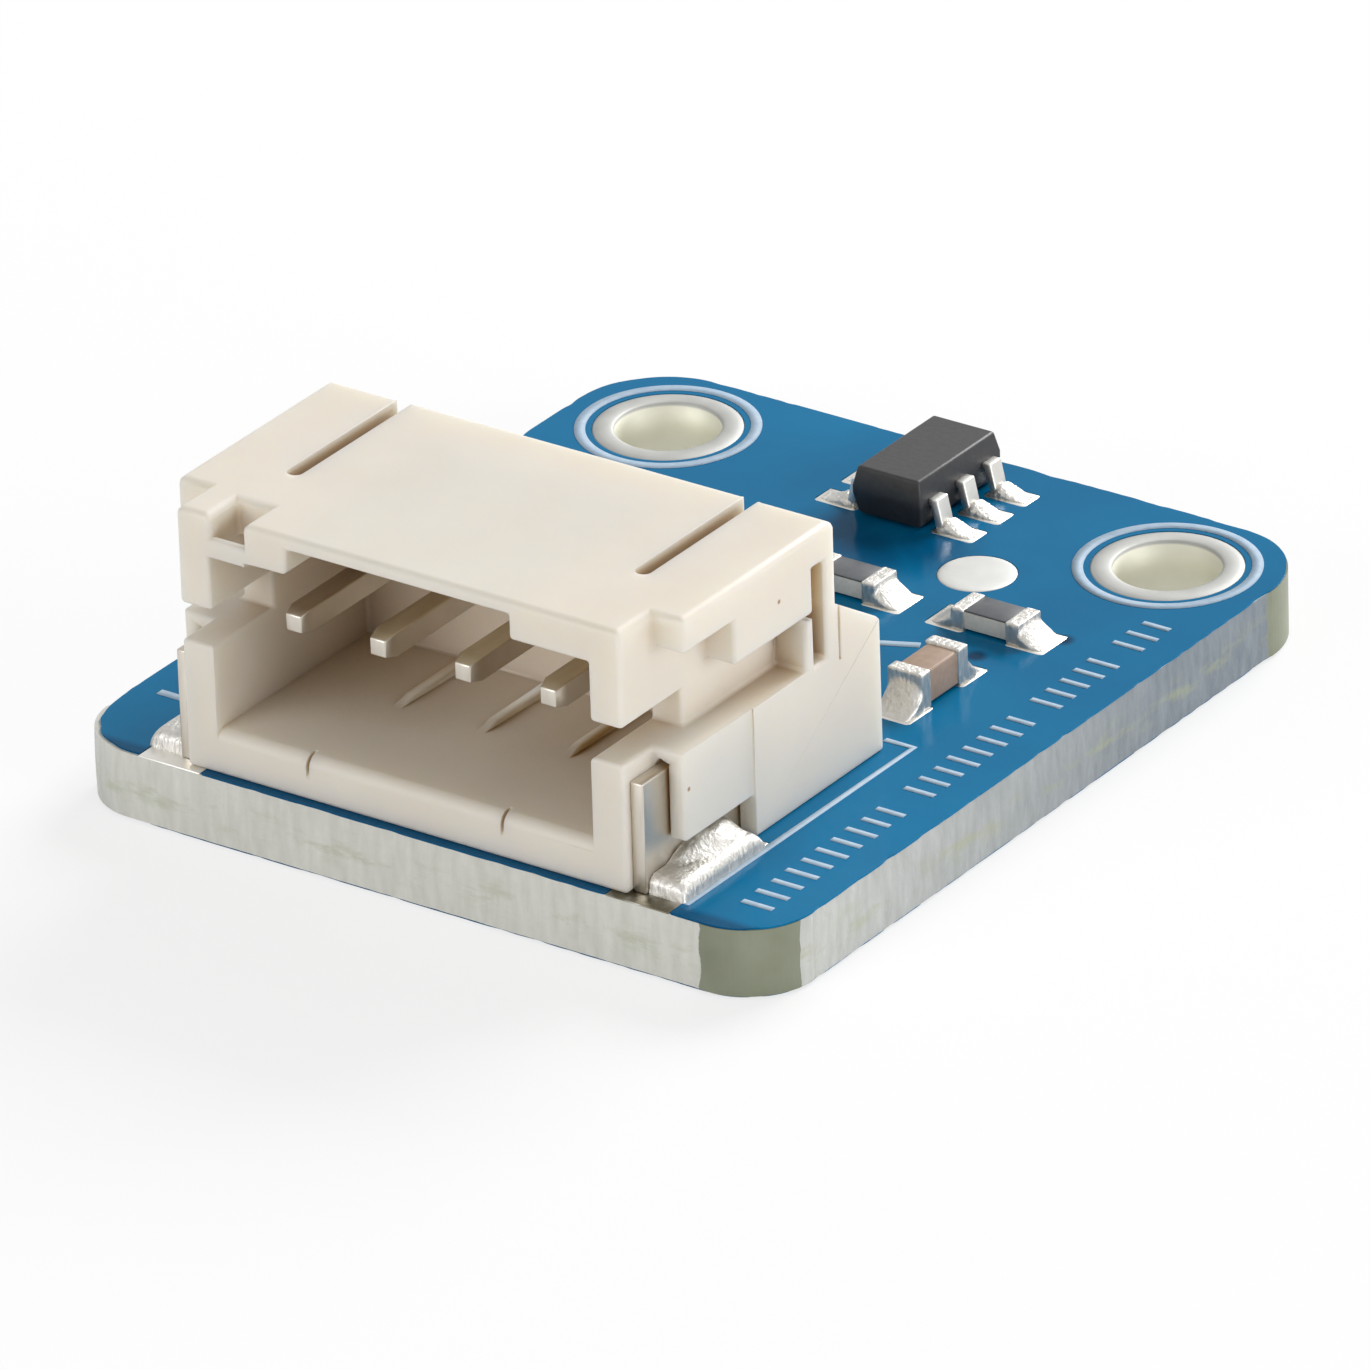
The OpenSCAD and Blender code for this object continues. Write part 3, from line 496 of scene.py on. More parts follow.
# The hold-down pads turn dark brown round two points at the front end of the right one.
TINNED_DARK_AT_FRONT = tinted_round(TINNED, [(5.0, -9.7, 1.5), (5.6, -9.7, 1.5)], "#6B6655", 0.35, 0.7)
print(TINNED.name, LEVELLED.name, PLATED.name, SOLDER.name, TINNED_DARK_AT_FRONT.name)

# %% [markdown]
# ### Chip bodies and printed ink
# The sensor is moulded in black epoxy filled with silica, which is matt and slightly grainy. The
# capacitor is fired tan ceramic, the resistors are white alumina under a dark glassy coat. The
# white print is a thin screened ink that lets a little of the blue through.


# %% Chip bodies and printed ink
def grained_body(name, dark, light, rough, grain, depth, ior):
    """A dielectric with a fine two-tone grain of grain millimetres."""
    made, tree, shader, place = start_finish(name, Roughness=rough, IOR=ior)
    sand = add(tree, "ShaderNodeTexNoise", {"Vector": place, "Scale": per_mm(grain), "Detail": 4})
    tone = add(tree, "ShaderNodeMix", {"Factor": sand.outputs["Fac"], 6: ink(dark),
                                       7: ink(light)}, data_type="RGBA")
    tree.links.new(tone.outputs[2], shader.inputs["Base Color"])
    bump(tree, shader, sand.outputs["Fac"], depth)
    return made


COMPOUND = grained_body("black_epoxy_transfer_moulded", "#1A1A1C", "#323234", 0.44, 0.12,
                        0.004, 1.55)
CAPACITOR = grained_body("fired_capacitor_ceramic", "#9B8270", "#B89F8B", 0.5, 0.16, 0.003, 1.5)
ALUMINA = grained_body("fired_alumina", "#D2CEC2", "#EDEAE1", 0.5, 0.12, 0.004, 1.7)
COAT = grained_body("printed_resistor_glaze", "#4A4E52", "#676A6E", 0.34, 0.2, 0.004, 1.55)
PRINT = grained_body("screened_white_ink", "#93AEC6", "#BCCEDD", 0.6, 0.2, 0.003, 1.45)
print([m.name for m in (COMPOUND, CAPACITOR, ALUMINA, COAT, PRINT)])

# %% [markdown]
# ## Helpers for pieces
# A CAD mesh is loose triangles, so a copy is merged and its flat faces are joined before its
# edges are rounded. A finished piece stands at the origin and rides on the body called root.


# %% Helpers for pieces
def merged_copy(node):
    """A CAD node's shape as a closed mesh with whole flat faces."""
    bm = bmesh.new()
    bm.from_mesh(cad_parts[node].data)
    bmesh.ops.remove_doubles(bm, verts=bm.verts, dist=1e-7)
    bmesh.ops.dissolve_limit(bm, angle_limit=math.radians(1), verts=bm.verts, edges=bm.edges)
    return bm


def seat(name, source, finish, stands_for=()):
    """Makes a piece of a bmesh or a mesh, gives it its finish and seats it on the part."""
    mesh = source
    if isinstance(source, bmesh.types.BMesh):
        mesh = bpy.data.meshes.new(name)
        source.to_mesh(mesh)
        source.free()
    mesh.materials.clear()
    mesh.materials.append(finish)
    piece = bpy.data.objects.new(name, mesh)
    bpy.context.scene.collection.objects.link(piece)
    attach(piece, "root")
    if stands_for:
        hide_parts(*stands_for)
    return piece


def round_edges(piece, width, segments=2, angle=30, weighted=False):
    """Rounds a piece's sharp edges by width millimetres."""
    cut = piece.modifiers.new("rounded_edges", "BEVEL")
    cut.width = width * MM
    cut.segments = segments
    cut.limit_method = "WEIGHT" if weighted else "ANGLE"
    cut.angle_limit = math.radians(angle)
    cut.use_clamp_overlap = not weighted
    for face in piece.data.polygons:
        face.use_smooth = True
    flat = piece.modifiers.new("flat_faces_stay_flat", "WEIGHTED_NORMAL")
    flat.mode = "FACE_AREA"
    flat.weight = 70
    flat.keep_sharp = True


def rounded_copy(name, node, finish, width, segments=2):
    """A CAD node's own shape with rounded edges, in the node's place."""
    piece = seat(name, merged_copy(node), finish, [node])
    round_edges(piece, width, segments)
    return piece


def islands(node):
    """The lowest and highest corner, in millimetres, of each separate solid of a CAD node."""
    bm = merged_copy(node)
    left, found = set(bm.verts), []
    while left:
        stack, part = [left.pop()], []
        while stack:
            vert = stack.pop()
            part.append(vert.co.copy())
            for edge in vert.link_edges:
                other = edge.other_vert(vert)
                if other in left:
                    left.discard(other)
                    stack.append(other)
        found.append([[f(p[i] for p in part) / MM for i in range(3)] for f in (min, max)])
    bm.free()
    return sorted(found)


print("contact pads", len(islands("contact_pads")))

# %% [markdown]
# ## The board
# The core and the mask are drawn again as slabs, because a snapped edge isn't straight: the score
# leaves a slight slope at the top and the bottom, and the glass breaks back by some hundredths
# of a millimetre. The blue film ends raggedly a little inside, furthest at the front left corner.

# %% Outlines for the board
HALF_W = cad_high.x / MM
HALF_D = -cad_low.y / MM
BOARD_LOW, BOARD_HIGH = (v.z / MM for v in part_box("board_laminate"))
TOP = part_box("top_solder_mask")[1].z / MM
FRONT_R, BACK_R = 1.5, 2.0
STEP = 0.06
SCORE = 0.02
CHIPPED = 0.02
FILM_EDGE, FILM_RAGGED, FILM_CORNER = 0.015, 0.04, 0.10


def straight(a, b, step):
    """Points from a towards b, b left out."""
    count = max(1, round((Vector(b) - Vector(a)).length / step))
    return [tuple(Vector(a).lerp(Vector(b), i / count)) for i in range(count)]


def arc(cx, cy, r, start, turn, count):
    """Points on an arc, angles in degrees, the end left out."""
    return [(cx + r * math.cos(math.radians(start + turn * i / count)),
             cy + r * math.sin(math.radians(start + turn * i / count))) for i in range(count)]


def board_outline():
    """The board's outline, anticlockwise, with close points on the straight sides."""
    fx, bx = HALF_W - FRONT_R, HALF_W - BACK_R
    fy, by = HALF_D - FRONT_R, HALF_D - BACK_R
    return (straight((-fx, -HALF_D), (fx, -HALF_D), STEP) + arc(fx, -fy, FRONT_R, -90, 90, 20)
            + straight((HALF_W, -fy), (HALF_W, by), STEP) + arc(bx, by, BACK_R, 0, 90, 24)
            + straight((bx, HALF_D), (-bx, HALF_D), STEP) + arc(-bx, by, BACK_R, 90, 90, 24)
            + straight((-HALF_W, by), (-HALF_W, -fy), STEP)
            + arc(-fx, -fy, FRONT_R, 180, 90, 20))


def snapped_share(x, y):
    """1 on the snapped straight sides, 0 on the milled corners, with a short way between."""
    if y < 0 and (x < 0 or HALF_D + y > 1.1):
        return 1.0
    corner = FRONT_R if y < 0 else BACK_R
    along = HALF_D - abs(y) if abs(x) > HALF_W - 1e-4 else HALF_W - abs(x)
    if abs(x) < HALF_W - 1e-4 and abs(y) < HALF_D - 1e-4:
        return 0.0
    return min(1.0, max(0.0, (along - corner) / 0.3))


def broken_back(x, y, z):
    """The same point moved inwards to where the glass has broken off."""
    share = snapped_share(x, y)
    if share == 0:
        return x, y
    middle, half = (BOARD_LOW + BOARD_HIGH) / 2, (BOARD_HIGH - BOARD_LOW) / 2
    slope = SCORE * max(0.0, abs(z - middle) / half - 0.4) / 0.6
    rough = noise.fractal(Vector((x, y, z * 1.6)) * 2.2, 0.7, 2.1, 5)
    depth = share * (min(slope, SCORE) + CHIPPED * (0.5 + 0.5 * max(-1.0, min(1.0, rough))))
    if abs(x) > HALF_W - 1e-4:
        return x - math.copysign(depth, x), y
    return x, y - math.copysign(depth, y)


def film_edge(x, y):
    """How far the blue film ends inside the board's edge."""
    rough = max(0.0, noise.fractal(Vector((x, y, 5.3)) * 1.7, 1.0, 2.1, 2) + 0.35)
    corner = max(0.0, 1 - math.hypot(x + HALF_W, y + HALF_D) / 2.2)
    return FILM_EDGE + FILM_RAGGED * rough * rough + FILM_CORNER * min(1.0, 2 * corner)


def pulled_in(loop, depth):
    """An anticlockwise loop with each point moved inwards by depth(x, y) millimetres."""
    moved = []
    for i, (x, y) in enumerate(loop):
        (x0, y0), (x1, y1) = loop[i - 1], loop[(i + 1) % len(loop)]
        along = Vector((x1 - x0, y1 - y0)).normalized()
        amount = depth(x, y)
        moved.append((x - along.y * amount, y + along.x * amount))
    return moved


print("outline points", len(board_outline()))


# %% A slab with openings
def unmoved(x, y, z):
    return x, y


def slab(outline, openings, levels, shift):
    """A closed slab: outline and openings are loops in millimetres, levels its heights."""
    bm = bmesh.new()
    snapped = bm.verts.layers.float.new("snapped")
    caps = {levels[0]: [], levels[-1]: []}

    def wall(loop, heights, moved):
        rings = []
        for z in heights:
            ring = []
            for x, y in loop:
                px, py = moved(x, y, z)
                vert = bm.verts.new((px * MM, py * MM, z * MM))
                vert[snapped] = snapped_share(x, y)
                ring.append(vert)
            rings.append(ring)
        for low, high in zip(rings, rings[1:]):
            for i in range(len(loop)):
                bm.faces.new((low[i - 1], low[i], high[i], high[i - 1]))
        for z, ring in ((heights[0], rings[0]), (heights[-1], rings[-1])):
            caps[z] += [bm.edges.get((ring[i - 1], ring[i])) for i in range(len(loop))]

    wall(outline, levels, shift)
    for loop in openings:
        wall(loop, (levels[0], levels[-1]), unmoved)
    for z, edges in caps.items():
        bmesh.ops.triangle_fill(bm, use_beauty=True, edges=edges, normal=(0, 0, 1))
    bmesh.ops.recalc_face_normals(bm, faces=bm.faces)
    return bm


def opening(low, high, grow, r=0.12):
    """A rectangle with rounded corners, grow millimetres outside the two corners given."""
    x0, y0, x1, y1 = low[0] - grow, low[1] - grow, high[0] + grow, high[1] + grow
    return (arc(x1 - r, y0 + r, r, -90, 90, 5) + arc(x1 - r, y1 - r, r, 0, 90, 5)
            + arc(x0 + r, y1 - r, r, 90, 90, 5) + arc(x0 + r, y0 + r, r, 180, 90, 5))


def middle_of(node):
    low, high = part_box(node)
    return (low.x + high.x) / 2 / MM, (low.y + high.y) / 2 / MM


HOLES = [middle_of("hole_plating_left"), middle_of("hole_plating_right")]
RING_R = (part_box("hole_plating_left")[1].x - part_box("hole_plating_left")[0].x) / 2 / MM
BARREL_R = 1.16
GAP = 0.015
RIM = 0.33
PADS = ("contact_pads", "sensor_pads", "resistor_a_pads", "resistor_b_pads", "capacitor_pads")
print("holes at", HOLES, "ring radius", round(RING_R, 3))


# %% Core and mask
def core_levels():
    count = 10
    return [BOARD_LOW + (BOARD_HIGH - BOARD_LOW) * i / count for i in range(count + 1)]


barrels = [arc(x, y, BARREL_R, 0, 360, 64) for x, y in HOLES]
rings = [arc(x, y, RING_R, 0, 360, 64) for x, y in HOLES]
round_pad = [arc(*middle_of("test_pad"), 0.8 + GAP, 0, 360, 64)]
pad_openings = [opening(low, high, GAP) for node in PADS for low, high in islands(node)]
tab_openings = []
for node in ("hold_down_pad_left", "hold_down_pad_right"):
    low, high = (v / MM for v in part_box(node))
    tab_openings.append((low.x + (RIM if high.x < 0 else 0) - GAP,
                         high.x - (RIM if high.x > 0 else 0) + GAP, high.y + GAP))


def notched_outline():
    """The mask's outline: at the front edge it steps back round the two hold-down pads."""
    edge = pulled_in(board_outline(), film_edge)
    start = max(range(len(edge)), key=lambda i: edge[i][1])
    loop, passed = [], set()
    for x, y in edge[start:] + edge[:start]:
        inside = [o for o in tab_openings if o[0] <= x <= o[1] and y < 0.4 - HALF_D]
        if not inside:
            loop.append((x, y))
        elif inside[0] not in passed:
            passed.add(inside[0])
            x0, x1, back = inside[0]
            near = -HALF_D + 0.05
            loop += [(x0, near), (x0, back), (x1, back), (x1, near)]
    return loop


seat("board_core", slab(board_outline(), barrels, core_levels(), broken_back), LAMINATE,
     ["board_laminate"])
film = slab(notched_outline(), rings + round_pad + pad_openings, (BOARD_HIGH, TOP), unmoved)
seat("mask_top", film, MASK, ["top_solder_mask"])
inner_edge = pulled_in(board_outline(), lambda x, y: film_edge(x, y) + 0.04)
under = slab(inner_edge, rings, (0.0, BOARD_LOW), unmoved)
seat("mask_under", under, MASK, ["bottom_solder_mask"])
print("openings in the mask", len(rings + round_pad + pad_openings) + 2)

# %% [markdown]
# ## Tinned rings and pads
# Molten tin draws itself into a low dome on copper. Each ring is a profile spun round its hole,
# with the dome on top and the barrel through the board; the test pad is a spun dome. The flat
# pads keep the CAD shape with rounded edges. The film covers the outer rim of the two pads under
# the hold-downs, so these show a little narrower.


# %% Tinned rings and pads
def spun(profile, cx, cy, count=72, closed=True):
    """Spins a profile of (radius, height) round an upright line through cx, cy."""
    bm = bmesh.new()
    loops = []
    for i in range(count):
        turn = 2 * math.pi * i / count
        loops.append([bm.verts.new(((cx + r * math.cos(turn)) * MM, (cy + r * math.sin(turn)) * MM,
                                    z * MM)) for r, z in profile])
    steps = len(profile) if closed else len(profile) - 1
    for i in range(count):
        for k in range(steps):
            j = (k + 1) % len(profile)
            corners = [loops[i - 1][k], loops[i][k], loops[i][j], loops[i - 1][j]]
            bm.faces.new(corners)
    bmesh.ops.remove_doubles(bm, verts=bm.verts, dist=1e-7)
    bmesh.ops.recalc_face_normals(bm, faces=bm.faces)
    for face in bm.faces:
        face.smooth = True
    return bm


def ring_profile():
    """Dome on top, barrel, and a flat foot below."""
    bore, crown, rim = 1.1, 0.03, RING_R - 0.05
    dome = []
    for i in range(9):
        share = i / 8
        r = bore + (rim - bore) * share
        dome.append((r, TOP + crown * math.sin(math.pi * share) ** 0.6 - 0.004))
    wall = [(RING_R, TOP - 0.02), (RING_R, BOARD_HIGH), (BARREL_R, BOARD_HIGH), (BARREL_R, BOARD_LOW),
            (RING_R, BOARD_LOW), (RING_R - 0.01, 0.005), (RING_R - 0.03, 0.0), (bore + 0.02, 0.0)]
    return dome + wall + [(bore, 0.02), (bore, TOP / 2)]


for side, (x, y) in zip(("left", "right"), HOLES):
    seat(f"tinned_ring_{side}", spun(ring_profile(), x, y), LEVELLED,
         [f"hole_plating_{side}"])

tx, ty = middle_of("test_pad")
crown = [(0.8 * math.sin(a), TOP - 0.012 + 0.045 * math.cos(a) ** 0.8) for a in
         [math.pi / 2 * i / 10 for i in range(10)]]
crown += [(0.8, TOP - 0.012), (0.8, BOARD_HIGH), (0.0, BOARD_HIGH)]
seat("test_pad_dome", spun(crown, tx, ty, closed=False), PAD_TIN,
     ["test_pad"])
for node in PADS:
    rounded_copy(node + "_tinned", node, TINNED, 0.02)
for node in ("hold_down_pad_left", "hold_down_pad_right"):
    bm = merged_copy(node)
    low, high = (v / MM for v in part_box(node))
    for vert in bm.verts:
        if high.x < 0:
            vert.co.x = max(low.x + RIM, vert.co.x / MM) * MM
        else:
            vert.co.x = min(high.x - RIM, vert.co.x / MM) * MM
    round_edges(seat(node + "_tinned", bm, TINNED_DARK_AT_FRONT, [node]), 0.02)
print("crown points", len(crown))

# %% [markdown]
# ## The moulded header
# The hardest piece. The CAD solid already has every wall, window and groove, and what it lacks is
# the mould's soft edges. Each sharp edge gets its own width through a bevel weight: the edges of
# the top are the roundest, narrow steps get only what they have room for, and the few edges with
# no room at all are marked sharp, so that the flat faces beside them stay evenly shaded.

# %% The moulded header
SOFT = 0.16
EVERY = 0.09
ROOM = 0.38
HEAD_LOW, HEAD_HIGH = (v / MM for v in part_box("header_housing"))


def edge_width(edge):
    """How far, in millimetres, this edge can be rounded."""
    if len(edge.link_faces) != 2 or edge.calc_face_angle(0) < math.radians(30):
        return 0.0
    room = min(face.calc_area() / max(e.calc_length() for e in face.edges) / MM
               for vert in edge.verts for face in vert.link_faces)
    along = (edge.verts[1].co - edge.verts[0].co).normalized()
    for loop in edge.link_loops:
        for beside in (loop.link_loop_prev.edge, loop.link_loop_next.edge):
            way = (beside.verts[1].co - beside.verts[0].co) / MM
            across = way.cross(along).length
            if across > 0.5 * way.length:
                room = min(room, across)
    if edge.calc_length() / MM < 0.3:
        return 0.0
    top = all(vert.co.z / MM > HEAD_HIGH.z - 0.01 for vert in edge.verts)
    return min(SOFT if top else EVERY, ROOM * room)


def header_shell():
    bm = merged_copy("header_housing")
    weight = bm.edges.layers.float.new("bevel_weight_edge")
    for edge in bm.edges:
        edge[weight] = edge_width(edge) / SOFT
        edge.smooth = edge[weight] > 0 or edge.calc_face_angle(0) < math.radians(30)
    count = sum(1 for edge in bm.edges if edge[weight] > 0)
    piece = seat("header_moulding", bm, NYLON, ["header_housing"])
    round_edges(piece, SOFT, 3, weighted=True)
    return count


print("rounded edges", header_shell())

# %% [markdown]
# ## Contacts and hold-downs
# Square bronze wire and stamped tabs keep the CAD shape with slightly broken edges.

# %% Contacts and hold-downs
for i in range(1, 5):
    rounded_copy(f"contact_wire_{i}", f"contact_pin_{i}", PLATED, 0.03)
for side in ("left", "right"):
    rounded_copy(f"hold_down_plate_{side}", f"hold_down_tab_{side}", PLATED,
                 0.03)
print("four contacts, two hold-downs")


# %% [markdown]
# ## Solder
# Melted solder pulls itself smooth. Over each hold-down's foot it stands as a heap that leans on
# the tab and runs out on the pad. At a contact, a lead or a chip it is a hollow fillet.


# %% Solder heaps
SUNK = 0.03
HELD_IN = 0.2


def heap(side):
    """A heap over one foot: a grid whose height falls to the pad on three sides.

    The film's rim holds the solder in, so it ends HELD_IN millimetres inside the CAD shape.
    """
    node = f"tab_solder_{side}"
    low, high = (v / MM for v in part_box(node))
    sign = 1 if side == "right" else -1
    inner = low.x if sign > 0 else high.x
    across = high.x - low.x - HELD_IN
    tall = high.z - TOP
    nu, nv = 30, 60
    bm = bmesh.new()
    grid = []
    for i in range(nu + 1):
        row = []
        for k in range(nv + 1):
            u, v = i / nu, k / nv
            x = inner + sign * across * u
            y = low.y + (high.y - low.y) * v
            off_middle = abs(2 * v ** 0.9 - 1)
            over_foot = 0.42 * ((1 - u ** 8) * max(0.0, 1 - off_middle ** 10)) ** 0.5
            rise = (v / 0.6) ** 0.7 if v < 0.6 else (1 - ((v - 0.6) / 0.4) ** 3) ** 0.6
            lump = 0.1 * noise.noise(Vector((x, y * 0.8, 3.1)) * 2.6)
            lean = (tall + SUNK) * (1 - u ** 1.8) ** 0.8 * rise * min(1.0, 0.93 + lump)
            z = TOP - SUNK + max(over_foot, lean)
            row.append(bm.verts.new((x * MM, y * MM, z * MM)))
        grid.append(row)
    base = [[bm.verts.new((vert.co.x, vert.co.y, (TOP - 2 * SUNK) * MM)) for vert in row]
            for row in grid]
    for i in range(nu):
        for k in range(nv):
            bm.faces.new((grid[i][k], grid[i + 1][k], grid[i + 1][k + 1], grid[i][k + 1]))
            bm.faces.new((base[i][k], base[i][k + 1], base[i + 1][k + 1], base[i + 1][k]))
    rim = [(i, 0) for i in range(nu)] + [(nu, k) for k in range(nv)]
    rim += [(i, nv) for i in range(nu, 0, -1)] + [(0, k) for k in range(nv, 0, -1)]
    for (i, k), (m, n) in zip(rim, rim[1:] + rim[:1]):
        bm.faces.new((grid[i][k], base[i][k], base[m][n], grid[m][n]))
    bmesh.ops.recalc_face_normals(bm, faces=bm.faces)
    for face in bm.faces:
        face.smooth = True
    mesh = bpy.data.meshes.new("heap")
    bm.to_mesh(mesh)
    bm.free()
    return mesh


print("heap faces before melting", len(heap("left").polygons))


# %% [markdown]
# ### Fillets in rows
# A fillet repeats at every contact, lead and chip end, so one small shape is made and a Geometry
# Nodes tree sets it in a row. The tree's inputs are the number of copies, the first place, the
# step between copies, the turn of each copy and the finish.


# %% A row tree
def new_tree(name, inputs):
    """An empty geometry tree with a geometry socket each way and the named inputs."""
    tree = bpy.data.node_groups.new(name, "GeometryNodeTree")
    tree.interface.new_socket("Geometry", in_out="INPUT", socket_type="NodeSocketGeometry")
    for label, kind in inputs:
        tree.interface.new_socket(label, in_out="INPUT", socket_type="NodeSocket" + kind)
    tree.interface.new_socket("Geometry", in_out="OUTPUT", socket_type="NodeSocketGeometry")
    return tree


def grown(tree, name, values, start=None):
    """Runs a tree on a start mesh and returns the result as a plain mesh."""
    mesh = start or bpy.data.meshes.new(name + "_start")
    holder = bpy.data.objects.new(name + "_start", mesh)
    bpy.context.scene.collection.objects.link(holder)
    pattern = holder.modifiers.new("pattern", "NODES")
    pattern.node_group = tree
    for item in tree.interface.items_tree:
        if item.in_out == "INPUT" and item.name in values:
            pattern[item.identifier] = values[item.name]
    made = holder.evaluated_get(bpy.context.evaluated_depsgraph_get())
    result = bpy.data.meshes.new_from_object(made)
    holder.modifiers.remove(pattern)
    bpy.data.objects.remove(holder)
    result.name = name
    return result


def row_tree():
    tree = new_tree("row_of_fillets", [("Count", "Int"), ("First", "Vector"), ("Step", "Vector"),
                                       ("Turn", "Float"), ("Finish", "Material")])
    given = add(tree, "NodeGroupInput")
    line = add(tree, "GeometryNodeMeshLine", {"Count": given.outputs["Count"],
                                              "Start Location": given.outputs["First"],
                                              "Offset": given.outputs["Step"]}, mode="OFFSET")
    turn = add(tree, "ShaderNodeCombineXYZ", {"Z": given.outputs["Turn"]})
    copies = add(tree, "GeometryNodeInstanceOnPoints",
                 {"Points": line.outputs[0], "Instance": given.outputs["Geometry"],
                  "Rotation": turn.outputs[0]})
    real = add(tree, "GeometryNodeRealizeInstances", {0: copies.outputs[0]})
    finished = add(tree, "GeometryNodeSetMaterial", {"Geometry": real.outputs[0],
                                                     "Material": given.outputs["Finish"]})
    add(tree, "NodeGroupOutput", {0: finished.outputs[0]})
    return tree


ROW = row_tree()
print(ROW.name, [item.name for item in ROW.interface.items_tree])


# %% One fillet
def fillet_mesh(width, reach, height, hollow=1.5):
    """A fillet that leans on a face at x = 0 and runs out along +x, in millimetres."""
    nu, nv = 12, 10
    bm = bmesh.new()
    grid = []
    for i in range(nu + 1):
        row = []
        for k in range(nv + 1):
            u, v = i / nu, k / nv * 2 - 1
            spread = 1 - 0.3 * max(0.0, u - 0.4)
            fall = (1 - u) ** hollow * (1 - 0.45 * abs(v) ** 3)
            row.append(bm.verts.new((reach * u * MM, width / 2 * v * spread * MM,
                                     height * fall * MM)))
        grid.append(row)
    base = [[bm.verts.new((vert.co.x, vert.co.y, -SUNK * MM)) for vert in row] for row in grid]
    for i in range(nu):
        for k in range(nv):
            bm.faces.new((grid[i][k], grid[i + 1][k], grid[i + 1][k + 1], grid[i][k + 1]))
            bm.faces.new((base[i][k], base[i][k + 1], base[i + 1][k + 1], base[i + 1][k]))
    rim = [(i, 0) for i in range(nu)] + [(nu, k) for k in range(nv)]
    rim += [(i, nv) for i in range(nu, 0, -1)] + [(0, k) for k in range(nv, 0, -1)]
    for (i, k), (m, n) in zip(rim, rim[1:] + rim[:1]):
        bm.faces.new((grid[i][k], base[i][k], base[m][n], grid[m][n]))
    bmesh.ops.recalc_face_normals(bm, faces=bm.faces)
    mesh = bpy.data.meshes.new("fillet")
    bm.to_mesh(mesh)
    bm.free()
    return mesh


print("faces of one fillet", len(fillet_mesh(0.8, 0.5, 0.4).polygons))

# %% [markdown]
# ### Melting shapes together
# Solder, the end cap under it and the lead's foot flow into one skin, as surface tension makes
# them. A Remesh modifier joins overlapping closed shapes into one, and a Smooth modifier draws
# its corners round. The remesher can't make cells under a tenth of a unit, so the shapes are
# melted at a thousand times their size and brought back.


# %% Melting shapes together
def joined(name, meshes):
    """Several meshes as one."""
    bm = bmesh.new()
    for mesh in meshes:
        bm.from_mesh(mesh)
    made = bpy.data.meshes.new(name)
    bm.to_mesh(made)
    bm.free()
    return made


def drop(centre, radii):
    """A closed round shape, its middle and its three radii in millimetres."""
    bm = bmesh.new()
    bmesh.ops.create_icosphere(bm, subdivisions=3, radius=1)
    bmesh.ops.scale(bm, vec=[v * MM for v in radii], verts=bm.verts)
    bmesh.ops.translate(bm, vec=[v * MM for v in centre], verts=bm.verts)
    made = bpy.data.meshes.new("drop")
    bm.to_mesh(made)
    bm.free()
    return made


def dipped_end(node, grow):
    """The box of a chip's end cap, grow millimetres larger all round and down to the pad."""
    low, high = (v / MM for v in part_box(node))
    bm = bmesh.new()
    bmesh.ops.create_cube(bm, size=1)
    for vert in bm.verts:
        for axis in range(3):
            vert.co[axis] = (high[axis] + grow if vert.co[axis] > 0 else low[axis] - grow) * MM
    made = bpy.data.meshes.new("dipped_end")
    bm.to_mesh(made)
    bm.free()
    return made


def melted(name, nodes, shapes, cell=0.03, rounds=7):
    """One skin over closed shapes, seated as a piece of solder that stands for the nodes."""
    start = joined(name + "_start", shapes)
    start.transform(Matrix.Scale(1 / MM, 4))
    holder = bpy.data.objects.new(name + "_start", start)
    bpy.context.scene.collection.objects.link(holder)
    run = holder.modifiers.new("run_together", "REMESH")
    run.mode = "VOXEL"
    run.voxel_size = cell
    tension = holder.modifiers.new("surface_tension", "SMOOTH")
    tension.factor = 0.5
    tension.iterations = rounds
    skin = bpy.data.meshes.new_from_object(
        holder.evaluated_get(bpy.context.evaluated_depsgraph_get()))
    holder.modifiers.clear()
    bpy.data.objects.remove(holder)
    skin.transform(Matrix.Scale(MM, 4))
    skin.name = name
    for face in skin.polygons:
        face.use_smooth = True
    seat(name, skin, SOLDER, nodes)
    return len(skin.polygons)


def row_of(shape, first, step, count, turn):
    """One row of copies of a shape, made by the row tree; lengths in millimetres."""
    return grown(ROW, "row", {"Count": count, "First": [v * MM for v in first],
                              "Step": [v * MM for v in step], "Turn": math.radians(turn),
                              "Finish": SOLDER}, shape)


toes = islands("contact_solder")
pitch = toes[1][0][0] - toes[0][0][0]
first = ((toes[0][0][0] + toes[0][1][0]) / 2, toes[0][0][1] - 0.1, TOP)
shape = fillet_mesh(0.66, toes[0][1][1] - toes[0][0][1] + 0.12, 0.5)
print("heap faces", [melted(f"solder_heap_{side}", [f"tab_solder_{side}"], [heap(side)])
                     for side in ("left", "right")])
print("contact solder faces", melted("contact_fillets", ["contact_solder"],
                                     [row_of(shape, first, (pitch, 0, 0), 4, 90)]))

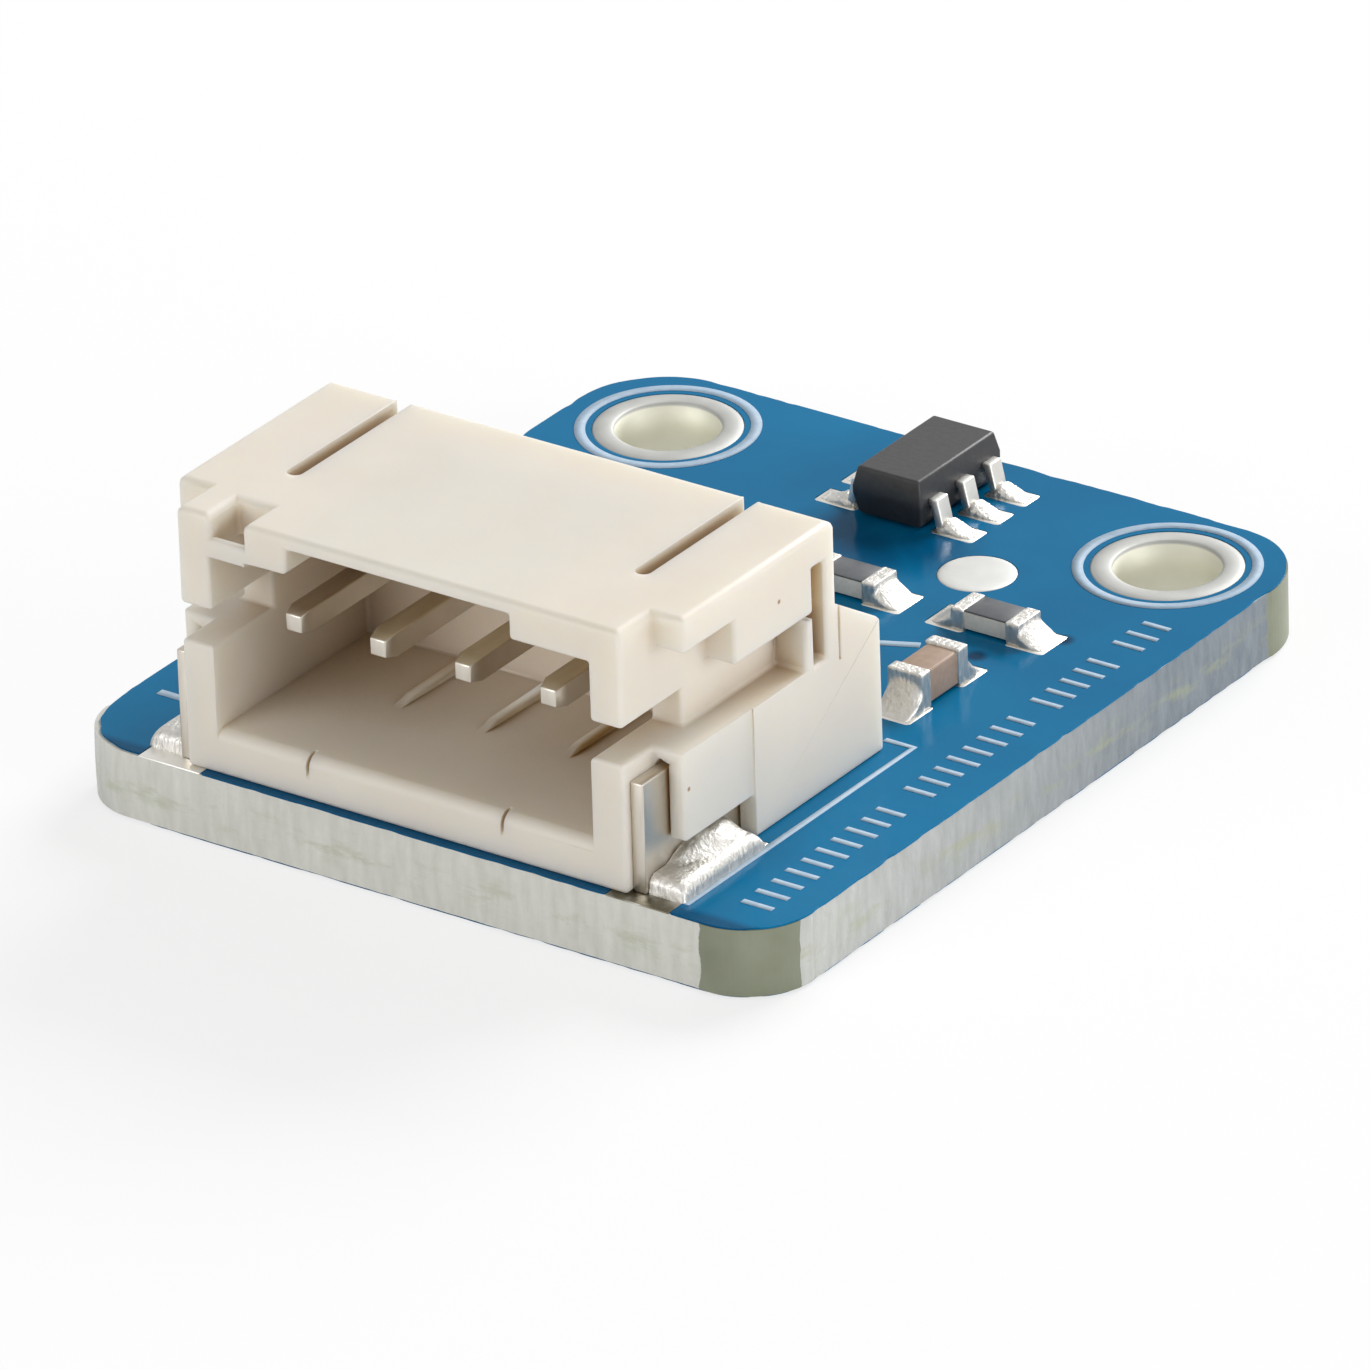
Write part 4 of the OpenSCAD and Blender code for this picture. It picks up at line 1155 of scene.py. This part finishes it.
# %% Solder at the sensor
toes = islands("sensor_solder")
ends = [t for t in toes if t[0][0] < toes[-1][0][0] - 1]
pitch = ends[1][0][1] - ends[0][0][1]
y0 = (ends[0][0][1] + ends[0][1][1]) / 2
reach = ends[0][1][0] - ends[0][0][0]
shape = joined("foot", [fillet_mesh(0.5, reach + 0.2, 0.26), drop((0, 0, 0.02), (0.3, 0.27, 0.2))])
over = 0.2
rows = [row_of(shape, (toes[-1][0][0] - over, y0, TOP), (0, pitch, 0), 3, 0),
        row_of(shape, (ends[0][1][0] + over, y0, TOP), (0, pitch, 0), 3, 180)]
print("sensor solder faces", melted("sensor_fillets", ["sensor_solder"], rows))


# %% Solder and end caps of the chips
def chip_ends(chip, axis, caps, height):
    """Both ends of a chip that lies along x (axis 0) or y (axis 1)."""
    node = chip + "_solder"
    a, b = islands(node)
    middle = (a[0][1 - axis] + a[1][1 - axis]) / 2
    reach = a[1][axis] - a[0][axis]
    faces = 0
    for cap, place, turn in ((caps[0], a[1][axis], 180), (caps[1], b[0][axis], 0)):
        point = (place, middle, TOP) if axis == 0 else (middle, place, TOP)
        apron = row_of(fillet_mesh(0.86, reach, height), point, (0, 0, 0), 1, turn + 90 * axis)
        faces += melted(f"{chip}_end_{cap}", [f"{chip}_cap_{cap}", node],
                        [dipped_end(f"{chip}_cap_{cap}", 0.012), apron], 0.028, 8)
    return faces


print("resistor ends", chip_ends("resistor_a", 0, ("left", "right"), 0.42),
      chip_ends("resistor_b", 0, ("left", "right"), 0.42))
print("capacitor ends", chip_ends("capacitor", 1, ("front", "rear"), 0.66))

# %% [markdown]
# ## Sensor and chips
# The sensor's body, its leads and the chips' cores keep their CAD shapes with small soft edges.

# %% Sensor and chips
rounded_copy("sensor_moulding", "sensor_body", COMPOUND, 0.06, 3)
for n in range(1, 7):
    rounded_copy(f"sensor_leg_{n}", f"sensor_lead_{n}", TINNED, 0.05, 3)
for chip in ("resistor_a", "resistor_b"):
    rounded_copy(chip + "_core", chip + "_body", ALUMINA, 0.02)
    rounded_copy(chip + "_glaze", chip + "_overcoat", COAT, 0.015)
rounded_copy("capacitor_core", "capacitor_body", CAPACITOR, 0.06, 3)
print("sensor, two resistors, one capacitor")

# %% [markdown]
# ## White print
# Screened ink lies on the mask as a film of a few hundredths of a millimetre. A stroke is a path
# with a flat profile, so one Geometry Nodes tree draws them all: it takes a line of points, gives
# it a width and a thickness and closes the ends. The maker's words are left out, and plain ticks
# of like size and colour take their place.

# %% White print
INK_H = 0.012


def stroke_tree():
    tree = new_tree("printed_strokes", [("Width", "Float"), ("Height", "Float"),
                                        ("Finish", "Material")])
    given = add(tree, "NodeGroupInput")
    path = add(tree, "GeometryNodeMeshToCurve", {0: given.outputs["Geometry"]})
    level = add(tree, "GeometryNodeSetCurveNormal", {0: path.outputs[0]})
    level.mode = "Z_UP"
    profile = add(tree, "GeometryNodeCurvePrimitiveQuadrilateral",
                  {"Width": given.outputs["Width"], "Height": given.outputs["Height"]})
    film = add(tree, "GeometryNodeCurveToMesh", {"Curve": level.outputs[0],
                                                 "Profile Curve": profile.outputs[0],
                                                 "Fill Caps": True})
    real = add(tree, "GeometryNodeRealizeInstances", {0: film.outputs[0]})
    finished = add(tree, "GeometryNodeSetMaterial", {"Geometry": real.outputs[0],
                                                     "Material": given.outputs["Finish"]})
    add(tree, "NodeGroupOutput", {0: finished.outputs[0]})
    return tree


STROKE = stroke_tree()


def strokes(name, paths, width):
    """Prints paths of (x, y) points, in millimetres; a path whose ends meet is closed."""
    bm = bmesh.new()
    for path in paths:
        closed = path[0] == path[-1]
        points = [bm.verts.new((x * MM, y * MM, (TOP + INK_H / 2) * MM))
                  for x, y in (path[:-1] if closed else path)]
        for a, b in zip(points, points[1:]):
            bm.edges.new((a, b))
        if closed:
            bm.edges.new((points[-1], points[0]))
    mesh = bpy.data.meshes.new(name + "_path")
    bm.to_mesh(mesh)
    bm.free()
    made = grown(STROKE, name, {"Width": width * MM, "Height": INK_H * MM, "Finish": PRINT}, mesh)
    tidy = bmesh.new()
    tidy.from_mesh(made)
    bmesh.ops.remove_doubles(tidy, verts=tidy.verts, dist=1e-7)
    bmesh.ops.recalc_face_normals(tidy, faces=tidy.faces)
    seat(name, tidy, PRINT)


def ring_path(cx, cy, r, count=72):
    points = arc(cx, cy, r, 0, 360, count)
    return points + points[:1]


strokes("print_hole_rings", [ring_path(x, y, 1.79) for x, y in HOLES], 0.23)
corner = (6.16, -1.62)
strokes("print_header_line", [[(6.12, -9.3), (6.13, -6.64), corner, (5.49, -1.63)]], 0.15)
strokes("print_small_marks", [[(-7.78, -7.35), (-7.08, -7.35)], [(2.81, 1.65), (3.8, 2.1)]], 0.2)
print("ink height in mm", INK_H)

# %% [markdown]
# ### Ticks along the edge
# The place of the label along the right side: a hatch of short strokes in four groups, with
# lengths drawn from a fixed seed.

# %% Ticks along the edge
TICK_STEP = 0.5


def tick_paths():
    groups = [(-8.6, 10), (-3.1, 8), (1.3, 5), (4.2, 3)]
    paths = []
    for start, count in groups:
        for i in range(count):
            y = start + i * TICK_STEP
            size = 0.34 + 0.04 * noise.cell(Vector((y * 3, 1.5, 0.5)))
            paths.append([(7.3 - size, y), (7.3 + size, y)])
    return paths


strokes("print_edge_ticks", tick_paths(), 0.14)
print("ticks", len(tick_paths()))

# %% [markdown]
# ## Size and finish
# The dressed part is meant to keep the CAD part's size, so both boxes are printed: the CAD box at the
# start, the visual box here.

# %% Size and finish
low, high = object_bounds()
print("visual box in mm", [round(v / MM, 3) for v in high - low])
